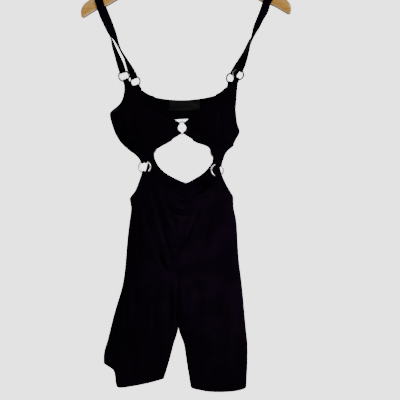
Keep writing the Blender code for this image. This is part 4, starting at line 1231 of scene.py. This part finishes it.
BACK_CREASES = (
    (7, 3, -74, -540, -58, -600, -34, -680, -18, -746),
    (6, -2.6, -62, -556, -42, -624, -22, -700),
    (7, 3, 62, -546, 46, -610, 16, -690, -6, -742),
    (6, -2.6, 50, -562, 30, -630, 4, -704),
    (4, 2, -24, -572, 0, -582, 26, -570),
    (4, -2.2, -26, -582, 0, -594, 28, -580),
    (4.5, 1.6, -20, -594, 0, -607, 22, -593),
    (5, -3.4, -40, -724, -28, -742, -20, -764),
    (5, -3.2, 20, -722, 6, -742, -4, -764),
    (5, 2.6, -34, -758, -62, -778, -92, -788),
    (5, 2.6, 4, -760, 34, -776, 64, -782),
    (6, 2.8, -98, -690, -104, -780, -108, -890),
    (6, -2.8, -84, -700, -88, -800, -90, -900),
    (5, 2.2, -64, -800, -66, -860, -70, -940),
    (5, -2.6, -44, -790, -44, -850, -52, -930),
    (7, 2.6, 92, -680, 98, -780, 102, -900),
    (6, -2.4, 74, -700, 78, -800, 82, -930),
    (6, 2.4, 50, -790, 54, -870, 56, -960),
    (5, -2.4, 28, -790, 30, -860, 28, -940),
)
SHORTS_GATHERS = {
    "front": (
        ("ring_waist_front_left", 23, 1.2, 24, 0.3),
        ("ring_waist_front_right", 22, 1.2, 24, 1.7),
    ),
    "back": (
        ("ring_waist_back_left", 22, 1.1, 24, 2.4),
        ("ring_waist_back_right", 23, 1.1, 24, 0.9),
    ),
}


def hip_sections(facing, side):
    """The sections of one of the four shorts panels, in the panel table's columns."""
    left, rows = side == "left", []
    for row in padded((TOPS[facing], *HIPS), HIP_COLUMNS):
        col = dict(zip(HIP_COLUMNS, row))
        side_x, side_z = col[f"{side}_x"], col[f"{side}_z"]
        pleat = (0, 0, 0)
        if left and facing == "front":
            pleat = (col["pleat"], col["flap"], col["rise"])
        elif left:
            side_x, side_z = side_x - col["flap"], side_z + col["rise"]
        seam_y = FACES[facing] * col[facing] if col["tube"] < 1 else -col["front"] - LEGS_PASS * (not left)
        centre = (col[f"centre_{side}_x"], seam_y, col["centre_z"])
        edge = (side_x, col["side_y"] * left, side_z)
        rows.append([*edge, *centre, col["puff"], 1, col["tube"], *pleat, col[f"sag_{side}"]])
    if not left:
        rows[-1][5] = HEM_CORNER_RIGHT
    return rows


def sewn_to(grid, first, line):
    """Brings the inner edge, from a row on, to the line that its neighbour is sewn to as well."""
    miss = np.zeros((len(grid), 3))
    miss[first:] = line - grid[first:, -1, :3]
    miss[:first] = miss[first] * np.exp(-(first - np.arange(first)) / SEWN_EASE)[:, None]
    done = travel(grid, 1)
    grid[..., :3] += miss[:, None] * ((done / done[:, -1:]) ** SEWN_POWER)[..., None]


def model_shorts_panel(facing, side):
    face = FACES[facing]
    yoke = YOKES[facing, side]
    creases = FRONT_CREASES if facing == "front" else BACK_CREASES
    gathers = SHORTS_GATHERS[facing]
    sections = hip_sections(facing, side)
    grid = finer(panel([*yoke, *sections]), DOWN_STEPS, ACROSS_STEPS)
    inner_line = smooth([section[3:6] for section in sections], DOWN_STEPS)
    sewn_to(grid, len(yoke) * DOWN_STEPS, inner_line)
    _, from_hem, from_side, from_inner = from_edges(grid)
    yoke_end = (len(yoke) - 1) * DOWN_STEPS
    row = (np.arange(len(grid))[:, None] - yoke_end) / DOWN_STEPS
    seamed = np.clip(row * 2, 0, 1)
    above_crotch = np.clip(CROTCH_ROW - row, 0, 1)
    proud = mix(turning(from_side), seam(from_side), seamed) + turning(from_hem, HEM_DEPTH)
    proud = proud + mix(turning(from_inner), seam(from_inner) * above_crotch, seamed)
    grid = rest_on_face(grid, face, proud, creases, gathers, SHORTS_WAVER)
    grids = [grid, tab_over(f"ring_waist_{facing}_{side}", grid[0], TAB_GRIP, face, gathers)]
    name = f"{facing}_{side}"
    shorts = cloth(f"jersey_{name}", grids, WALL, jersey, (0, face, 0))
    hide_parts(name)
    run_beside(grid, STITCHED, face, ("inner", 3, yoke_end + 10), ("side", 3, yoke_end - 6))
    for height in HEM_STITCHES:
        run_beside(grid, height, face, ("bottom", 0, grid.shape[1]))


for facing in ("front", "back"):
    for side in ("left", "right"):
        model_shorts_panel(facing, side)


# ==== Stitches ====
# Black polyester thread, half sunk into the face of the cloth: one row along each turned edge, two rows
# above each hem, and a tack at each end of the label.

STITCH_PITCH, STITCH_LONG, STITCH_THICK = 3.4, 2.7, 0.5
STITCH_PROUD = 0.1  # of its middle line, over the cloth's face


def black_thread():
    made, tree = finish_of("black_thread", Roughness=0.6, Specular_IOR_Level=0.08)
    twist = noise(tree, on_body(tree), 3000, 1)
    colour = ramp(tree, twist, (0.3, (0.004, 0.0033, 0.0055)), (0.7, (0.008, 0.007, 0.01)))
    into_shader(tree, Base_Color=colour, Normal=bumped(tree, twist, 0.3, 0.00005))
    return made


def model_stitches():
    bpy.ops.mesh.primitive_uv_sphere_add(segments=6, ring_count=4, radius=0.5)
    stitch = bpy.context.active_object
    one = points_of(stitch)[:, (2, 0, 1)] * (STITCH_LONG, STITCH_THICK, STITCH_THICK)
    shape = [list(polygon.vertices) for polygon in stitch.data.polygons]
    points, faces = [], []
    for line, out in threads:
        done = travel(line[None], 1)[0]
        if done[-1] < 2 * STITCH_PITCH:
            continue
        places = np.arange(STITCH_PITCH / 2, done[-1] - STITCH_PITCH / 2, STITCH_PITCH)
        middles, next_to = [
            np.stack([np.interp(at, done, line[:, k]) for k in range(3)], -1) for at in (places, places + 1)
        ]
        for middle, beyond in zip(middles, next_to):
            way = unit(beyond - middle)
            aside = unit(np.cross(way, out))
            up = np.cross(aside, way)
            faces += [[number + len(points) * len(one) for number in face] for face in shape]
            points.append(middle + up * (WALL / 2 + STITCH_PROUD) + one @ np.stack([way, aside, up]))
    mesh = stitch.data
    mesh.clear_geometry()
    mesh.from_pydata((np.concatenate(points) * MM).tolist(), [], faces)
    stitch.name = mesh.name = "thread_rows"

    in_edit(stitch, lambda: bpy.ops.mesh.normals_make_consistent(inside=False))
    bpy.ops.object.shade_smooth()
    mesh.materials.append(black_thread())
    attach(stitch, "root")


model_stitches()


# ==== Studio ====
# A pale round floor well below the garment, white all round, soft lights before, beside and behind it,
# and a camera straight in front.

FLOOR_Z, FLOOR_RADIUS = -1.30, 1.0
CAMERA_PLACE, VIEW_HEIGHT = (0.030, -1.6, -0.599), 0.856
SENSOR = 36.0
LIT_POINT = (0, 0, -0.6)


def model_floor():
    place = (0, 0, FLOOR_Z)
    bpy.ops.mesh.primitive_circle_add(vertices=96, radius=FLOOR_RADIUS, fill_type="NGON", location=place)
    bpy.ops.object.transform_apply(location=True)
    floor = bpy.context.active_object
    floor.name = "studio_floor"
    made, tree = finish_of("pale_floor", Roughness=0.7)
    speck = noise(tree, on_body(tree), 40, 3)
    into_shader(tree, Base_Color=ramp(tree, speck, (0.3, (0.80, 0.80, 0.80)), (0.7, (0.84, 0.84, 0.84))))
    floor.data.materials.append(made)


def make_world():
    """White to the camera; to everything else a soft room, brighter before the garment than behind it."""
    world = bpy.data.worlds.new("white_room")
    bpy.context.scene.world = world
    world.use_nodes = True
    tree = world.node_tree
    tree.nodes.clear()
    way = axes(tree, node(tree, "TexCoord").outputs["Generated"])["Y"]
    room = ramp(
        tree, ranged(tree, way, -1.0, 1.0),
        (0.0, (1.0, 1.0, 1.0)), (0.35, (0.7, 0.7, 0.7)), (0.6, (0.10, 0.10, 0.10)), (1.0, (0.05, 0.05, 0.05)),
    )
    ray = node(tree, "LightPath").outputs
    dim = first(tree, "Background", {"Color": room, "Strength": 0.15})
    mirrored = first(tree, "Background", {"Color": room, "Strength": 1.0})
    seen = first(tree, "Background", {"Color": (1, 1, 1, 1), "Strength": 3.0})
    lit = first(tree, "MixShader", {0: ray["Is Glossy Ray"], 1: dim, 2: mirrored})
    either = first(tree, "MixShader", {0: ray["Is Camera Ray"], 1: lit, 2: seen})
    node(tree, "OutputWorld", {"Surface": either})


def soft_light(name, place, size, power):
    light = bpy.data.lights.new(name, "AREA")
    light.shape = "DISK"
    light.size = size
    light.energy = power
    lamp = added(name, light)
    lamp.location = place
    lamp.rotation_euler = (Vector(LIT_POINT) - Vector(place)).to_track_quat("-Z", "Y").to_euler()


def place_camera():
    camera = bpy.data.cameras.new("front_view")
    camera.sensor_width = SENSOR
    camera.lens = SENSOR * -CAMERA_PLACE[1] / VIEW_HEIGHT
    eye = added("front_view", camera)
    eye.location = CAMERA_PLACE
    eye.rotation_euler = (math.radians(90), 0, 0)
    bpy.context.scene.camera = eye


model_floor()
make_world()
soft_light("key", (3.1, -2.5, 1.3), 1.2, 190)
soft_light("fill", (-1.7, -1.5, -0.2), 1.2, 4)
soft_light("top", (-0.8, -1.6, 0.9), 1.0, 10)
soft_light("back", (-1.5, 1.6, 0.4), 1.0, 30)
place_camera()
